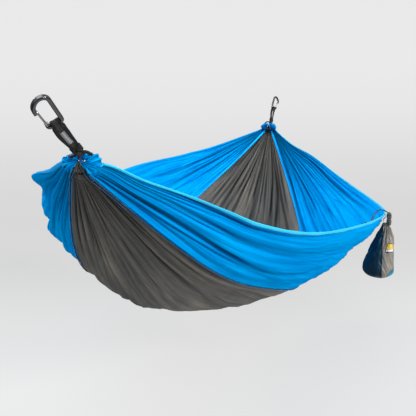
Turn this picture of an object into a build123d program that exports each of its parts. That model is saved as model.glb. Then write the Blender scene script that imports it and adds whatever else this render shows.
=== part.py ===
"""Gathered-end camping hammock with two suspension loops, two wire-gate carabiners and an attached stuff sack.

Row frame: +X runs from the near hanging point to the far one, +Y to the left, +Z up, in millimetres.
The origin is the centre of the near carabiner's top basket, which is what hangs on the anchor.
"""

import math
import os

from build123d import *

os.makedirs("parts", exist_ok=True)

# ---------------------------------------------------------------- driving dimensions
SPAN = 2344.0           # between the two gathered necks
SAG = 576.0             # extra radius of the bed at mid-span over the neck radius
NECK_R = 36.0           # radius of the U that the end channel makes on its cord
SKEW = -0.114           # moves the deepest section a little towards the far end
RIM_R, RIM_L = 66.0, -68.0      # where the two rims lie, in degrees round the ridge line
RIM_L_LIFT = 20.7       # the left rim rises further round near the near end
SEAM_R, SEAM_L = 28.4, -38.3    # where the two long seams lie
SKIN = 2.0              # thickness of the cloth's stand-in
GAP = 0.3               # between pieces that would only touch
RIM_DROP_R = (65.0, 67.0)       # slack of the right rim, near and far quarter
RIM_DROP_L = (59.5, -47.0)      # the same for the left rim; it is held up at the far quarter
RIM_IN_L = 0.107        # the left side is narrower near the near end
RIM_OUT_FAR = 0.115     # the right rim is pulled outwards beyond the sack
SACK_AT, SACK_PULL = 0.5, 16.0  # where the sack hangs on the right rim, and how far it draws the rim out

NEAR_TILT, FAR_TILT, FAR_YAW = 35.0, 49.0, -9.7   # how the two suspensions lead away
TWIST_NEAR, TWIST_FAR = -142.0, 60.0              # how each carabiner is turned about its own line
RING_R = 26.0                                      # the end cord's U, inside the bunched channel

BAR_W, BAR_T, BAR_FILLET = 7.5, 9.0, 2.2          # carabiner bar: in its plane, across it
BASKET_R = 13.0         # centreline radius of the top basket
SHOULDER_R = 22.0       # and of the shoulder that leads from it to the nose
HANG_TO_NECK = 183.0    # from the hanging axis to the neck centre
EYE_BAR = -60.0         # carabiner's bottom bar and the loop's top eye
EYE_CORD = -160.0       # loop's bottom eye on the end cord

NECK_NEAR = Vector(HANG_TO_NECK * math.cos(math.radians(NEAR_TILT)), 0, -HANG_TO_NECK * math.sin(math.radians(NEAR_TILT)))
NECK_FAR = NECK_NEAR + Vector(SPAN, 0, 0)


# ---------------------------------------------------------------- the bed's surface
def bump(u, c, w):
    return math.exp(-0.5 * ((u - c) / w) ** 2) * min(1.0, 8 * u * (1 - u))


def radius(u):
    us = u + SKEW * u * (1 - u)
    return SAG * 4 * us * (1 - us) + NECK_R


def bed(u, psi, out=0.0):
    """A point of the bed: u from 0 (near neck) to 1, psi in degrees from straight down, right side positive."""
    p = math.radians(psi)
    r = radius(u) + out
    wr = min(1.0, max(0.0, (psi - 10) / 56)) ** 1.5
    wl = min(1.0, max(0.0, (-psi - 10) / 58)) ** 1.5
    y = -r * math.sin(p) * (1 + wr * RIM_OUT_FAR * bump(u, 0.75, 0.12) - wl * RIM_IN_L * bump(u, 0.183, 0.12)) - wr * SACK_PULL * bump(u, SACK_AT, 0.075)
    z = -r * math.cos(p)
    z -= wr * (RIM_DROP_R[0] * bump(u, 0.25, 0.13) + RIM_DROP_R[1] * bump(u, 0.75, 0.13))
    z -= wl * (RIM_DROP_L[0] * bump(u, 0.118, 0.13) + RIM_DROP_L[1] * bump(u, 0.75, 0.13))
    return (y, z)


def rim_left(u):
    return RIM_L - RIM_L_LIFT * math.exp(-0.5 * ((u - 0.02) / 0.143) ** 2)


FIRST = 12.8 / SPAN
STATIONS = [FIRST, 0.03, 0.075, 0.13, 0.2, 0.29, 0.39, 0.5, 0.61, 0.71, 0.8, 0.87, 0.925, 0.97, 1 - FIRST]


def strip(lo, hi, inner, outer, n=9):
    """Lofted strip of the bed between angles lo(u) and hi(u), from offset inner to offset outer."""
    with BuildPart() as part:
        for u in STATIONS:
            a, b = lo(u), hi(u)
            row = [a + (b - a) * i / (n - 1) for i in range(n)]
            low = [bed(u, p, inner) for p in row]
            high = [bed(u, p, outer) for p in row]
            with BuildSketch(Plane(origin=(NECK_NEAR.X + u * SPAN, 0, NECK_NEAR.Z), x_dir=(0, 1, 0), z_dir=(1, 0, 0))):
                with BuildLine():
                    Spline(*low)
                    Line(low[-1], high[-1])
                    Spline(*high[::-1])
                    Line(high[0], low[0])
                make_face()
        loft()
    return part


def turn(mm):
    """Angle that spans mm of cloth at station u."""
    return lambda u: math.degrees(mm / radius(u))


HEM_W, SEAM_W = 7.0, 12.0
half, edge, tape = turn(GAP / 2), turn(HEM_W + GAP), turn(SEAM_W / 2)
hem = turn(HEM_W)
centre_panel = strip(lambda u: SEAM_L + half(u), lambda u: SEAM_R - half(u), -SKIN / 2, SKIN / 2)
right_panel = strip(lambda u: SEAM_R + half(u), lambda u: RIM_R - edge(u), -SKIN / 2, SKIN / 2)
left_panel = strip(lambda u: rim_left(u) + edge(u), lambda u: SEAM_L - half(u), -SKIN / 2, SKIN / 2)
right_rim_hem = strip(lambda u: RIM_R - hem(u), lambda u: RIM_R, -3.0, 3.0, n=3)
left_rim_hem = strip(rim_left, lambda u: rim_left(u) + hem(u), -3.0, 3.0, n=3)
right_seam = strip(lambda u: SEAM_R - tape(u), lambda u: SEAM_R + tape(u), SKIN / 2 + GAP, SKIN / 2 + GAP + 0.9, n=3)
left_seam = strip(lambda u: SEAM_L - tape(u), lambda u: SEAM_L + tape(u), SKIN / 2 + GAP, SKIN / 2 + GAP + 0.9, n=3)


# ---------------------------------------------------------------- suspension frames
def frame_of(tilt, yaw, twist, sign):
    """a runs along the suspension away from the bed, b lies across the webbing towards the gate, c is the carabiner's normal."""
    t, w = math.radians(tilt), math.radians(yaw)
    a = Vector(sign * math.cos(t) * math.cos(w), math.cos(t) * math.sin(w), math.sin(t))
    flat = Vector(0, 0, 1).cross(a) * -sign
    flat = flat * (1 / flat.length)
    b = flat.rotate(Axis((0, 0, 0), a), twist)
    return a, b, a.cross(b)


NEAR = frame_of(NEAR_TILT, 0.0, TWIST_NEAR, -1)
FAR = frame_of(FAR_TILT, FAR_YAW, TWIST_FAR, 1)
HANG_NEAR = Vector(0, 0, 0)
HANG_FAR = NECK_FAR + FAR[0] * HANG_TO_NECK


def plane_ab(hang, axes, c=0.0):
    return Plane(origin=hang + axes[2] * c, x_dir=axes[0], z_dir=axes[2])


def plane_ac(hang, axes, b=0.0):
    return Plane(origin=hang + axes[1] * b, x_dir=axes[0], z_dir=axes[1] * -1)


def carabiner(hang, axes):
    """Offset D body: straight spine, round top basket, nose with a rebate, bottom bar and a tongue for the gate."""
    ab = plane_ab(hang, axes)
    lean = math.radians(24)
    shoulder = ((BASKET_R - SHOULDER_R) * math.cos(lean), (BASKET_R - SHOULDER_R) * math.sin(lean))
    with BuildPart() as body:
        with BuildLine(ab):
            Line((EYE_BAR + 7, -BASKET_R), (0, -BASKET_R))
            CenterArc((0, 0), BASKET_R, -90, 114)
            CenterArc(shoulder, SHOULDER_R, 24, 66)
            Line((shoulder[0], shoulder[1] + SHOULDER_R), (-14.0, shoulder[1] + SHOULDER_R))
            CenterArc((EYE_BAR + 7, -BASKET_R + 7), 7, 180, 90)
            Line((EYE_BAR, -BASKET_R + 7), (EYE_BAR, 7))
            CenterArc((EYE_BAR + 7, 7), 7, 90, 90)
            Line((EYE_BAR + 7, 14), (-46.5, 14))
        start = Vector(-14.0, shoulder[1] + SHOULDER_R, 0)
        with BuildSketch(Plane(origin=ab.from_local_coords(start), x_dir=axes[1], z_dir=axes[0])):
            RectangleRounded(BAR_W, BAR_T, BAR_FILLET)
        sweep()
        # rebate on the inside of the nose, where the gate's bow shuts
        with BuildSketch(plane_ab(hang, axes, -6)):
            with Locations((-9.9, 14.6)):
                Rectangle(9.0, 5.4)
        extrude(amount=12, mode=Mode.SUBTRACT)
        # tongue between the gate's two legs
        for side in (-1, 1):
            with BuildSketch(plane_ab(hang, axes, side * 3.0)):
                with Locations((-49.0, 14.0)):
                    Rectangle(9.6, 12.0)
            extrude(amount=side * 4.0, mode=Mode.SUBTRACT)
        # pivot holes
        with BuildSketch(plane_ab(hang, axes, -4)):
            with Locations((-50.5, 14.0)):
                Circle(1.35)
        extrude(amount=8, mode=Mode.SUBTRACT)
    return body


def wire_gate(hang, axes):
    """U of spring wire: two legs, a bow at the nose and two short ends that turn into the pivot holes."""
    r = 1.3
    ab = plane_ab(hang, axes)
    pivot, tip = (-50.5, 14.0), (-13.2, 15.5)
    leg = math.hypot(tip[0] - pivot[0], tip[1] - pivot[1])
    along = axes[0] * ((tip[0] - pivot[0]) / leg) + axes[1] * ((tip[1] - pivot[1]) / leg)
    origin = ab.from_local_coords(Vector(pivot[0], pivot[1], 0))
    flat = Plane(origin=origin, x_dir=along, z_dir=along.cross(axes[2]))
    s = 1 if flat.y_dir.dot(axes[2]) > 0 else -1
    with BuildPart() as gate:
        with BuildLine(flat):
            FilletPolyline((0, -s * 0.4), (0, -s * 4.6), (leg, -s * 4.6), radius=1.5)
            ThreePointArc((leg, -s * 4.6), (leg + 4.6, 0), (leg, s * 4.6))
            FilletPolyline((leg, s * 4.6), (0, s * 4.6), (0, s * 0.4), radius=1.5)
        with BuildSketch(Plane(origin=flat.from_local_coords(Vector(0, -s * 0.4, 0)), x_dir=along, z_dir=axes[2])):
            Circle(r)
        sweep()
    return gate


def loop(hang, axes):
    """Webbing loop sewn to itself: an eye on the carabiner's bottom bar, two layers, and an eye on the end cord."""
    with BuildPart() as web:
        with BuildSketch(plane_ac(hang, axes, -13)):
            with Locations((EYE_BAR, 0)):
                Circle(8.4)
            with Locations((EYE_CORD, 0)):
                Circle(5.8)
            with BuildLine():
                Polyline((EYE_BAR, 8.35), (EYE_BAR - 4.0, 7.4), (EYE_BAR - 22, 2.4), (EYE_CORD + 16, 2.4), (EYE_CORD + 3, 4.95), (EYE_CORD, 5.75),
                         (EYE_CORD, -5.75), (EYE_CORD + 3, -4.95), (EYE_CORD + 16, -2.4), (EYE_BAR - 22, -2.4), (EYE_BAR - 4.0, -7.4), (EYE_BAR, -8.35), close=True)
            make_face()
            with Locations((EYE_BAR, 0)):
                Circle(6.5, mode=Mode.SUBTRACT)
            with Locations((EYE_CORD, 0)):
                Circle(3.6, mode=Mode.SUBTRACT)
            with BuildLine():
                Polyline((EYE_BAR - 1.0, 6.3), (EYE_BAR - 19, 0), (EYE_BAR - 1.0, -6.3), close=True)
            make_face(mode=Mode.SUBTRACT)
        extrude(amount=-26)
        with BuildSketch(plane_ab(hang, axes, -15)):
            with BuildLine():
                Polyline((EYE_BAR + 12, 9), (EYE_BAR - 9.5, 9), (EYE_BAR - 15, 12), (EYE_BAR - 32, 12), (EYE_CORD + 14, 8), (EYE_CORD - 8, 8),
                         (EYE_CORD - 8, -8), (EYE_CORD + 14, -8), (EYE_BAR - 32, -12), (EYE_BAR - 15, -12), (EYE_BAR - 9.5, -9), (EYE_BAR + 12, -9), close=True)
            make_face()
        extrude(amount=30, mode=Mode.INTERSECT)
    return web


def loop_stitching(hang, axes):
    """Rows of bar tacks that close the loop, on both faces."""
    with BuildPart() as tacks:
        for c, way in ((2.4 + 0.05, 1), (-2.4 - 0.05, -1)):
            with BuildSketch(plane_ab(hang, axes, c)):
                with Locations(*[(EYE_BAR - 28 - 4.2 * i, 0) for i in range(8)]):
                    Rectangle(1.3, 8.0)
            extrude(amount=way * 0.5)
    return tacks


def keeper(hang, axes):
    """Short band that holds the loop's two layers together just above the end cord."""
    with BuildPart() as band:
        with BuildSketch(Plane(origin=hang + axes[0] * (EYE_CORD + 15), x_dir=axes[1], z_dir=axes[0])):
            RectangleRounded(21.5, 10.0, 3.2)
            RectangleRounded(17.6, 5.6, 0.8, mode=Mode.SUBTRACT)
        extrude(amount=9)
    return band


def end_cord(hang, axes, neck, away):
    """Cord through the end channel: a U inside the channel, two legs up to the loop's bottom eye, spliced there."""
    y = Vector(0, 1, 0)
    b = axes[1] if axes[1].dot(y) > 0 else axes[1] * -1
    eye = hang + axes[0] * EYE_CORD
    lift = Vector(0, 0, 8)
    left, right = neck + y * RING_R, neck - y * RING_R
    with BuildPart() as cord:
        with BuildLine() as route:
            FilletPolyline(eye + b * 0.15, eye + b * 14, left + lift, left, radius=4.5)
            ThreePointArc(left, neck - Vector(0, 0, RING_R), right)
            FilletPolyline(right, right + lift, eye - b * 14, eye - b * 0.15, radius=4.5)
        with BuildSketch(Plane(origin=eye + b * 0.15, z_dir=b)):
            Circle(3.0)
        sweep()
    return cord


def end_channel(neck):
    """Sewn end channel of the bed, bunched on its cord into a ruffled U."""
    with BuildPart() as tube:
        with BuildLine(Plane(origin=neck, x_dir=(0, 1, 0), z_dir=(1, 0, 0))):
            CenterArc((0, 0), RING_R, 190, 170)
        a = math.radians(190)
        with BuildSketch(Plane(origin=neck + Vector(0, RING_R * math.cos(a), RING_R * math.sin(a)), x_dir=(1, 0, 0), z_dir=(0, -math.sin(a), math.cos(a)))):
            Circle(14.0)
            Circle(3.3, mode=Mode.SUBTRACT)
        sweep()
    return tube


# ---------------------------------------------------------------- stuff sack on the right rim
SACK_X = NECK_NEAR.X + SACK_AT * SPAN
SACK_WALL = 1.8
SACK_SPLIT_Y = -578.0   # the vertical seams between the two colours
SACK_PIVOT = (-577.6, -389.2)   # y and z of the sewn eye it swings on
# height, centre in y, half width in y, half width in x
SACK_ROWS = [(-400.5, -585.0, 8.5, 9.5), (-408.0, -585.5, 12.0, 12.5), (-418.4, -586.5, 18.5, 17.0), (-439.9, -584.0, 27.5, 26.0),
             (-461.6, -580.5, 35.0, 32.0), (-490.4, -573.5, 40.5, 37.0), (-515.8, -568.5, 46.0, 41.0), (-541.4, -565.0, 51.5, 44.0),
             (-562.7, -565.8, 51.5, 44.0), (-576.5, -568.8, 45.5, 39.0), (-586.3, -571.0, 33.0, 28.0), (-591.5, -573.5, 17.0, 14.0)]


def sack_form(rows, inset=0.0):
    with BuildPart() as form:
        for z, y, hy, hx in rows:
            with BuildSketch(Plane(origin=(SACK_X, y, z))):
                Ellipse(hx - inset, hy - inset)
        loft()
    return form


BASE_CUT = Plane(origin=(SACK_X, -601.0, -574.0), x_dir=(1, 0, 0), z_dir=(0, -35, -29))
sack_outside = sack_form(SACK_ROWS)
sack_inside = sack_form([(SACK_ROWS[0][0] + 1.0, *SACK_ROWS[0][1:]), *SACK_ROWS[1:10], (-584.5, -570.8, 36.0, 31.0)], SACK_WALL)
with BuildPart() as sack_shell:
    add(sack_outside.part)
    add(sack_inside.part, mode=Mode.SUBTRACT)
with BuildPart() as sack_base:
    add(sack_shell.part)
    split(bisect_by=BASE_CUT, keep=Keep.TOP)
with BuildPart() as sack_inner_panel:
    add(sack_shell.part)
    split(bisect_by=BASE_CUT, keep=Keep.BOTTOM)
    split(bisect_by=Plane(origin=(SACK_X, SACK_SPLIT_Y, 0), z_dir=(0, 1, 0)), keep=Keep.TOP)
with BuildPart() as sack_outer_panel:
    add(sack_shell.part)
    split(bisect_by=BASE_CUT, keep=Keep.BOTTOM)
    split(bisect_by=Plane(origin=(SACK_X, SACK_SPLIT_Y, 0), z_dir=(0, 1, 0)), keep=Keep.BOTTOM)

# gathered mouth: the drawcord channel bunched into a ruffled ring that faces outwards
with BuildPart() as sack_mouth_channel:
    with BuildSketch(Plane(origin=(SACK_X, -589.8, -384.0), x_dir=(1, 0, 0), z_dir=(0, -1, 0))):
        Circle(15.5)
        Circle(4.0, mode=Mode.SUBTRACT)
    extrude(amount=15)
    fillet(sack_mouth_channel.edges().filter_by(GeomType.CIRCLE).group_by(SortBy.RADIUS)[-1], 4)

with BuildPart() as sack_label:
    with BuildSketch(Plane(origin=(SACK_X - 19.0, -617.8, -482.0), x_dir=(1, 0, 0), z_dir=(0, -1, 0))):
        RectangleRounded(20, 26, 1.5)
    extrude(amount=0.9)

# tape sewn to the rim, and the sack's own loop under it
with BuildPart() as sack_tether:
    with BuildSketch(Plane(origin=(SACK_X - 9, 0, 0), x_dir=(0, 1, 0), z_dir=(1, 0, 0))):
        with BuildLine():
            Polyline((-587.2, -373.5), (-585.9, -373.2), (-583.1, -381.5), (-576.8, -388.0), (-578.4, -388.0), (-584.6, -381.9), close=True)
        make_face()
    extrude(amount=18)
with BuildPart() as sack_hanging_loop:
    with BuildSketch(Plane(origin=(SACK_X - 6, 0, 0), x_dir=(0, 1, 0), z_dir=(1, 0, 0))):
        with BuildLine():
            Polyline((SACK_PIVOT[0] - 0.8, SACK_PIVOT[1] - 0.5), (SACK_PIVOT[0] + 0.8, SACK_PIVOT[1] - 0.5), (-580.2, -400.4), (-582.2, -400.4), close=True)
        make_face()
    extrude(amount=12)

# ---------------------------------------------------------------- drawcord and its lock
CORD_D = 2.4
RUN_Z = -376.0
ROUTE = [(1325.0, -597.0, -366.6), (1318.0, -581.0, -355.5), (1289.0, -564.0, -349.0), (1251.0, -551.0, -353.5), (1206.0, -543.0, -364.0),
         (1160.0, -535.0, RUN_Z), (1104.0, -519.9, RUN_Z)]
SPREAD = [1.7, 2.6, 3.4, 3.0, 2.3, 1.7, 1.7]   # half the space between the two free ends
run = Vector(*ROUTE[-1]) - Vector(*ROUTE[-2])
run = run * (1 / run.length)
across = Vector(0, 0, 1).cross(run)


def strand(side):
    """One free end of the drawcord: straight runs joined by arcs as large as the runs allow."""
    pts = []
    for i, p in enumerate(ROUTE):
        lead = Vector(*ROUTE[min(i + 1, len(ROUTE) - 1)]) - Vector(*ROUTE[max(i - 1, 0)])
        off = Vector(0, 0, 1).cross(lead)
        off = across if i >= len(ROUTE) - 2 else off * (1 / off.length)
        pts.append(Vector(*p) + off * (side * SPREAD[i]))
    radii = []
    for a, b, c in zip(pts, pts[1:], pts[2:]):
        half_turn = math.radians((b - a).get_angle(c - b)) / 2
        radii.append(0.45 * min((b - a).length, (c - b).length) / math.tan(half_turn))
    print("drawcord radii mm", [round(r, 1) for r in radii], "runs mm", [round((b - a).length, 1) for a, b in zip(pts, pts[1:])])
    print("drawcord points m", [[round(v / 1000, 5) for v in (p.X, p.Y, p.Z)] for p in pts])
    with BuildPart() as tube:
        with BuildLine() as path:
            FilletPolyline(*pts, radius=radii)
        with BuildSketch(Plane(origin=pts[0], z_dir=pts[1] - pts[0])):
            Circle(CORD_D / 2)
        sweep()
    length = sum(e.length for e in path.edges())
    print("drawcord length mm", round(length, 1), "volume against section x length", round(tube.part.volume / (length * math.pi * CORD_D ** 2 / 4), 4))
    return tube


drawcord_inner_end = strand(-1)
drawcord_outer_end = strand(1)

LOCK_R, LOCK_BOTTOM, LOCK_TOP, BORE_R = 6.6, -8.6, 6.4, 4.5
LOCK_AT = Vector(*ROUTE[-1]) - run * 9.5
with BuildPart() as cord_lock_barrel:
    with BuildSketch(Plane(origin=LOCK_AT + Vector(0, 0, LOCK_BOTTOM))):
        Circle(LOCK_R)
    extrude(amount=LOCK_TOP - LOCK_BOTTOM)
    fillet(cord_lock_barrel.edges().filter_by(GeomType.CIRCLE), 1.0)
    with BuildSketch(Plane(origin=LOCK_AT + Vector(0, 0, LOCK_BOTTOM + 1.2))):
        Circle(BORE_R)
    extrude(amount=20, mode=Mode.SUBTRACT)
    with BuildSketch(Plane(origin=LOCK_AT - run * 10, x_dir=across, z_dir=run)):
        RectangleRounded(6.6, 3.2, 1.2)
    extrude(amount=20, mode=Mode.SUBTRACT)
with BuildPart() as cord_lock_plunger:
    with BuildSketch(Plane(origin=LOCK_AT + Vector(0, 0, -2.4))):
        Circle(BORE_R - 0.1)
    extrude(amount=13.4)
    fillet(cord_lock_plunger.edges().filter_by(GeomType.CIRCLE).sort_by(Axis.Z)[-1], 1.0)
    with BuildSketch(Plane(origin=LOCK_AT - run * 10 + Vector(0, 0, 1.45), x_dir=across, z_dir=run)):
        RectangleRounded(6.4, 5.7, 1.2)
    extrude(amount=20, mode=Mode.SUBTRACT)
with BuildPart() as cord_lock_spring:
    with BuildLine(Plane(origin=LOCK_AT + Vector(0, 0, LOCK_BOTTOM + 1.6))) as coil:
        Helix(pitch=1.4, height=4.2, radius=3.4)
    with BuildSketch(Plane(origin=coil.line @ 0, z_dir=coil.line % 0)):
        Circle(0.3)
    sweep()
with BuildPart() as drawcord_end_knot:
    with Locations(Vector(*ROUTE[-1]) + run * 3.75):
        Sphere(3.7)

made = {}
for tag, hang, axes, neck, away in (("near", HANG_NEAR, NEAR, NECK_NEAR, -1), ("far", HANG_FAR, FAR, NECK_FAR, 1)):
    made[f"{tag}_carabiner_body"] = carabiner(hang, axes)
    made[f"{tag}_carabiner_gate"] = wire_gate(hang, axes)
    made[f"{tag}_suspension_loop"] = loop(hang, axes)
    made[f"{tag}_loop_stitching"] = loop_stitching(hang, axes)
    made[f"{tag}_loop_keeper"] = keeper(hang, axes)
    made[f"{tag}_end_cord"] = end_cord(hang, axes, neck, away)
    made[f"{tag}_end_channel"] = end_channel(neck)

for name, part in {"centre_panel": centre_panel, "right_panel": right_panel, "left_panel": left_panel, "right_rim_hem": right_rim_hem,
                   "left_rim_hem": left_rim_hem, "right_seam": right_seam, "left_seam": left_seam,
                   "sack_outer_panel": sack_outer_panel, "sack_inner_panel": sack_inner_panel, "sack_base": sack_base, "sack_mouth_channel": sack_mouth_channel,
                   "sack_label": sack_label, "sack_tether": sack_tether, "sack_hanging_loop": sack_hanging_loop, "drawcord_inner_end": drawcord_inner_end,
                   "drawcord_outer_end": drawcord_outer_end, "drawcord_end_knot": drawcord_end_knot, "cord_lock_barrel": cord_lock_barrel,
                   "cord_lock_plunger": cord_lock_plunger, "cord_lock_spring": cord_lock_spring, **made}.items():
    part.part.label = name
    export_step(part.part, f"parts/{name}.step")
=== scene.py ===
import math

import bpy
import bmesh
import numpy as np
from mathutils import Matrix, Vector, noise


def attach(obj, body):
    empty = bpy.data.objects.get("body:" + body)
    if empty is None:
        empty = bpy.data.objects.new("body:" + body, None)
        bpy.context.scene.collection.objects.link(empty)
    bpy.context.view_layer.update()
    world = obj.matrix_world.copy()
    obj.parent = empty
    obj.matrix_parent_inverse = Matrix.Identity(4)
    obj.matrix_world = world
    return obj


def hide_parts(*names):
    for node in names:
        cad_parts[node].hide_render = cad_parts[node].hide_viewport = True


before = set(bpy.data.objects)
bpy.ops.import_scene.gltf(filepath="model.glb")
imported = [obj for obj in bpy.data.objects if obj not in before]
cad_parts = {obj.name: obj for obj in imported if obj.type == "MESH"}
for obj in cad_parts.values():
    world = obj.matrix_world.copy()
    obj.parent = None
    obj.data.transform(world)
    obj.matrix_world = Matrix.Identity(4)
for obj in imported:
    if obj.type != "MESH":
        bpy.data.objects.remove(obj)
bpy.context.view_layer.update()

rng = np.random.default_rng(11)

# ------------------------------------------------------------------ the hung shape, in millimetres, as the CAD has it
SPAN, SAG, NECK_R, SKEW = 2344.0, 576.0, 36.0, -0.114
RIM_R, RIM_L, RIM_L_LIFT = 66.0, -68.0, 20.7
SEAM_R, SEAM_L = 28.4, -38.3
NEAR_TILT, FAR_TILT, FAR_YAW, TWIST_NEAR, TWIST_FAR = 35.0, 49.0, -9.7, -142.0, 60.0
HANG_TO_NECK, EYE_BAR, EYE_CORD = 183.0, -60.0, -160.0
A = np.array([HANG_TO_NECK * math.cos(math.radians(NEAR_TILT)), 0.0, -HANG_TO_NECK * math.sin(math.radians(NEAR_TILT))])
B = A + np.array([SPAN, 0, 0])
FIRST = 10.0 / SPAN


def bump(u, c, w):
    return np.exp(-0.5 * ((u - c) / w) ** 2) * np.minimum(1.0, 8 * u * (1 - u))


def radius(u):
    us = u + SKEW * u * (1 - u)
    return SAG * 4 * us * (1 - us) + NECK_R


def rim_left(u):
    return RIM_L - RIM_L_LIFT * np.exp(-0.5 * ((u - 0.02) / 0.143) ** 2)


def bed(u, psi, out=0.0):
    """Points of the bed in millimetres; u, psi (degrees) and out may be arrays of one shape."""
    u, psi = np.asarray(u, float), np.asarray(psi, float)
    p, r = np.radians(psi), radius(u) + out
    wr = np.clip((psi - 10) / 56, 0, 1) ** 1.5
    wl = np.clip((-psi - 10) / 58, 0, 1) ** 1.5
    y = -r * np.sin(p) * (1 + wr * 0.115 * bump(u, 0.75, 0.12) - wl * 0.107 * bump(u, 0.183, 0.12)) - wr * 16.0 * bump(u, 0.5, 0.075)
    z = -r * np.cos(p) - wr * (65.0 * bump(u, 0.25, 0.13) + 67.0 * bump(u, 0.75, 0.13))
    z = z - wl * (59.5 * bump(u, 0.118, 0.13) - 47.0 * bump(u, 0.75, 0.13))
    return np.stack([A[0] + u * SPAN + 0 * p, y, A[2] + z], -1)


# ------------------------------------------------------------------ camera first, then the cords
def camera():
    yaw, pitch, focal = math.radians(13.74), math.radians(8.62), 669.2
    cam = bpy.data.cameras.new("camera")
    cam.sensor_width = 36.0
    cam.lens = focal / 416 * 36.0
    cam.clip_end = 100
    ob = bpy.data.objects.new("camera", cam)
    bpy.context.scene.collection.objects.link(ob)
    ob.location = Vector((A / 1000).tolist()) + Vector((-1.3002, -0.5908, 0.1109)) * 0.9
    look = Vector((math.cos(yaw) * math.cos(pitch), math.sin(yaw) * math.cos(pitch), -math.sin(pitch)))
    ob.rotation_mode = "QUATERNION"
    ob.rotation_quaternion = look.to_track_quat("-Z", "Y")
    bpy.context.scene.camera = ob


camera()


# ------------------------------------------------------------------ mesh helpers
def mesh_object(name, verts, faces, body, cloth=None, smooth=True, mm=True, shade=None):
    me = bpy.data.meshes.new(name)
    verts = np.asarray(verts, float) * (0.001 if mm else 1.0)
    me.from_pydata(verts.tolist(), [], [tuple(int(i) for i in f) for f in faces])
    me.validate()
    if smooth:
        me.polygons.foreach_set("use_smooth", [True] * len(me.polygons))
    if cloth is not None:
        at = me.attributes.new("cloth", "FLOAT_VECTOR", "POINT")
        at.data.foreach_set("vector", np.asarray(cloth, np.float32).ravel())
    # shade: painted shade for fold floors and creases, stored as the fold attribute that the nylon materials mix into
    # their colour
    if shade is not None:
        at = me.attributes.new("fold", "FLOAT", "POINT")
        at.data.foreach_set("value", np.asarray(shade, np.float32).ravel())
    me.update()
    ob = bpy.data.objects.new(name, me)
    bpy.context.scene.collection.objects.link(ob)
    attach(ob, body)
    return ob


def grid_faces(n, m, wrap_n=False, wrap_m=False, base=0, flip=False):
    i = np.arange(n if wrap_n else n - 1)
    j = np.arange(m if wrap_m else m - 1)
    I, J = np.meshgrid(i, j, indexing="ij")
    I2, J2 = (I + 1) % n, (J + 1) % m
    f = np.stack([I * m + J, I2 * m + J, I2 * m + J2, I * m + J2], -1).reshape(-1, 4) + base
    return f[:, ::-1] if flip else f


def unit(v):
    v = np.asarray(v, float)
    return v / np.maximum(np.linalg.norm(v, axis=-1, keepdims=True), 1e-12)


def frames_along(path, hint):
    """Tangent, normal and binormal at each point of a path, the normal kept near hint."""
    path = np.asarray(path, float)
    t = unit(np.gradient(path, axis=0))
    h = np.broadcast_to(np.asarray(hint, float), path.shape)
    n = unit(h - (h * t).sum(-1, keepdims=True) * t)
    return t, n, np.cross(t, n)


def tube(path, r, sides=8, hint=(0, 0, 1), closed=False):
    """A round tube along a path: points, faces. r may vary along it."""
    path = np.asarray(path, float)
    if closed:
        ext = np.vstack([path[-1:], path, path[:1]])
        t, n, b = (x[1:-1] for x in frames_along(ext, hint))
    else:
        t, n, b = frames_along(path, hint)
    r = np.broadcast_to(np.asarray(r, float), (len(path),))
    a = np.linspace(0, 2 * np.pi, sides, endpoint=False)
    ring = np.cos(a)[None, :, None] * n[:, None] + np.sin(a)[None, :, None] * b[:, None]
    v = path[:, None] + ring * r[:, None, None]
    f = grid_faces(len(path), sides, wrap_n=closed, wrap_m=True).tolist()
    if not closed:
        f.append(list(range(sides))[::-1])
        f.append([(len(path) - 1) * sides + k for k in range(sides)])
    return v.reshape(-1, 3), f


def strip_ring(path, n, b, profile):
    """Sweeps a closed profile, points (along n, along b), along an open path."""
    v = path[:, None] + profile[None, :, :1] * n[:, None] + profile[None, :, 1:] * b[:, None]
    k = len(profile)
    f = grid_faces(len(path), k, wrap_m=True).tolist()
    f.append(list(range(k))[::-1])
    f.append([(len(path) - 1) * k + i for i in range(k)])
    return v.reshape(-1, 3), f


def resample(path, step):
    d = np.concatenate([[0], np.cumsum(np.linalg.norm(np.diff(path, axis=0), axis=1))])
    s = np.arange(0, d[-1], step)
    return np.stack([np.interp(s, d, path[:, k]) for k in range(3)], -1), s


def join_parts(parts):
    vs, fs, n = [], [], 0
    for v, f in parts:
        vs.append(np.asarray(v))
        fs += [[i + n for i in q] for q in f]
        n += len(v)
    return np.vstack(vs), fs


def stitch_mesh(path, normal, spacing, length, r, lift):
    """A row of lock stitches: short thread bars that dip at both ends."""
    pts, s = resample(path, spacing)
    nrm = np.stack([np.interp(np.linspace(0, 1, len(pts)), np.linspace(0, 1, len(normal)), normal[:, k]) for k in range(3)], -1)
    nrm = unit(nrm)
    t = unit(np.gradient(pts, axis=0))
    side = np.cross(t, nrm)
    offs = np.array([-0.5, -0.32, 0.0, 0.32, 0.5]) * length
    dip = np.array([-0.9, -0.1, 0.25, -0.1, -0.9]) * r + lift
    k = 5
    a = np.linspace(0, 2 * np.pi, k, endpoint=False)
    c = pts[:, None] + offs[None, :, None] * t[:, None] + dip[None, :, None] * nrm[:, None]
    v = c[:, :, None] + r * (np.cos(a)[None, None, :, None] * nrm[:, None, None] + np.sin(a)[None, None, :, None] * side[:, None, None])
    f1 = grid_faces(5, k, wrap_m=True)
    caps = [[4, 3, 2, 1, 0], [20, 21, 22, 23, 24]]
    faces = []
    for i in range(len(pts)):
        faces += (f1 + i * 25).tolist() + [[q + i * 25 for q in c2] for c2 in caps]
    return v.reshape(-1, 3), faces


# ------------------------------------------------------------------ materials
def nodes_of(name):
    m = bpy.data.materials.new(name)
    m.use_nodes = True
    nt = m.node_tree
    return m, nt, nt.nodes["Principled BSDF"]


def ramp(nt, fac, stops):
    n = nt.nodes.new("ShaderNodeValToRGB")
    e = n.color_ramp.elements
    while len(e) < len(stops):
        e.new(0.5)
    for el, (p, c) in zip(e, stops):
        el.position, el.color = p, (*c, 1)
    nt.links.new(fac, n.inputs[0])
    return n.outputs[0]


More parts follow.
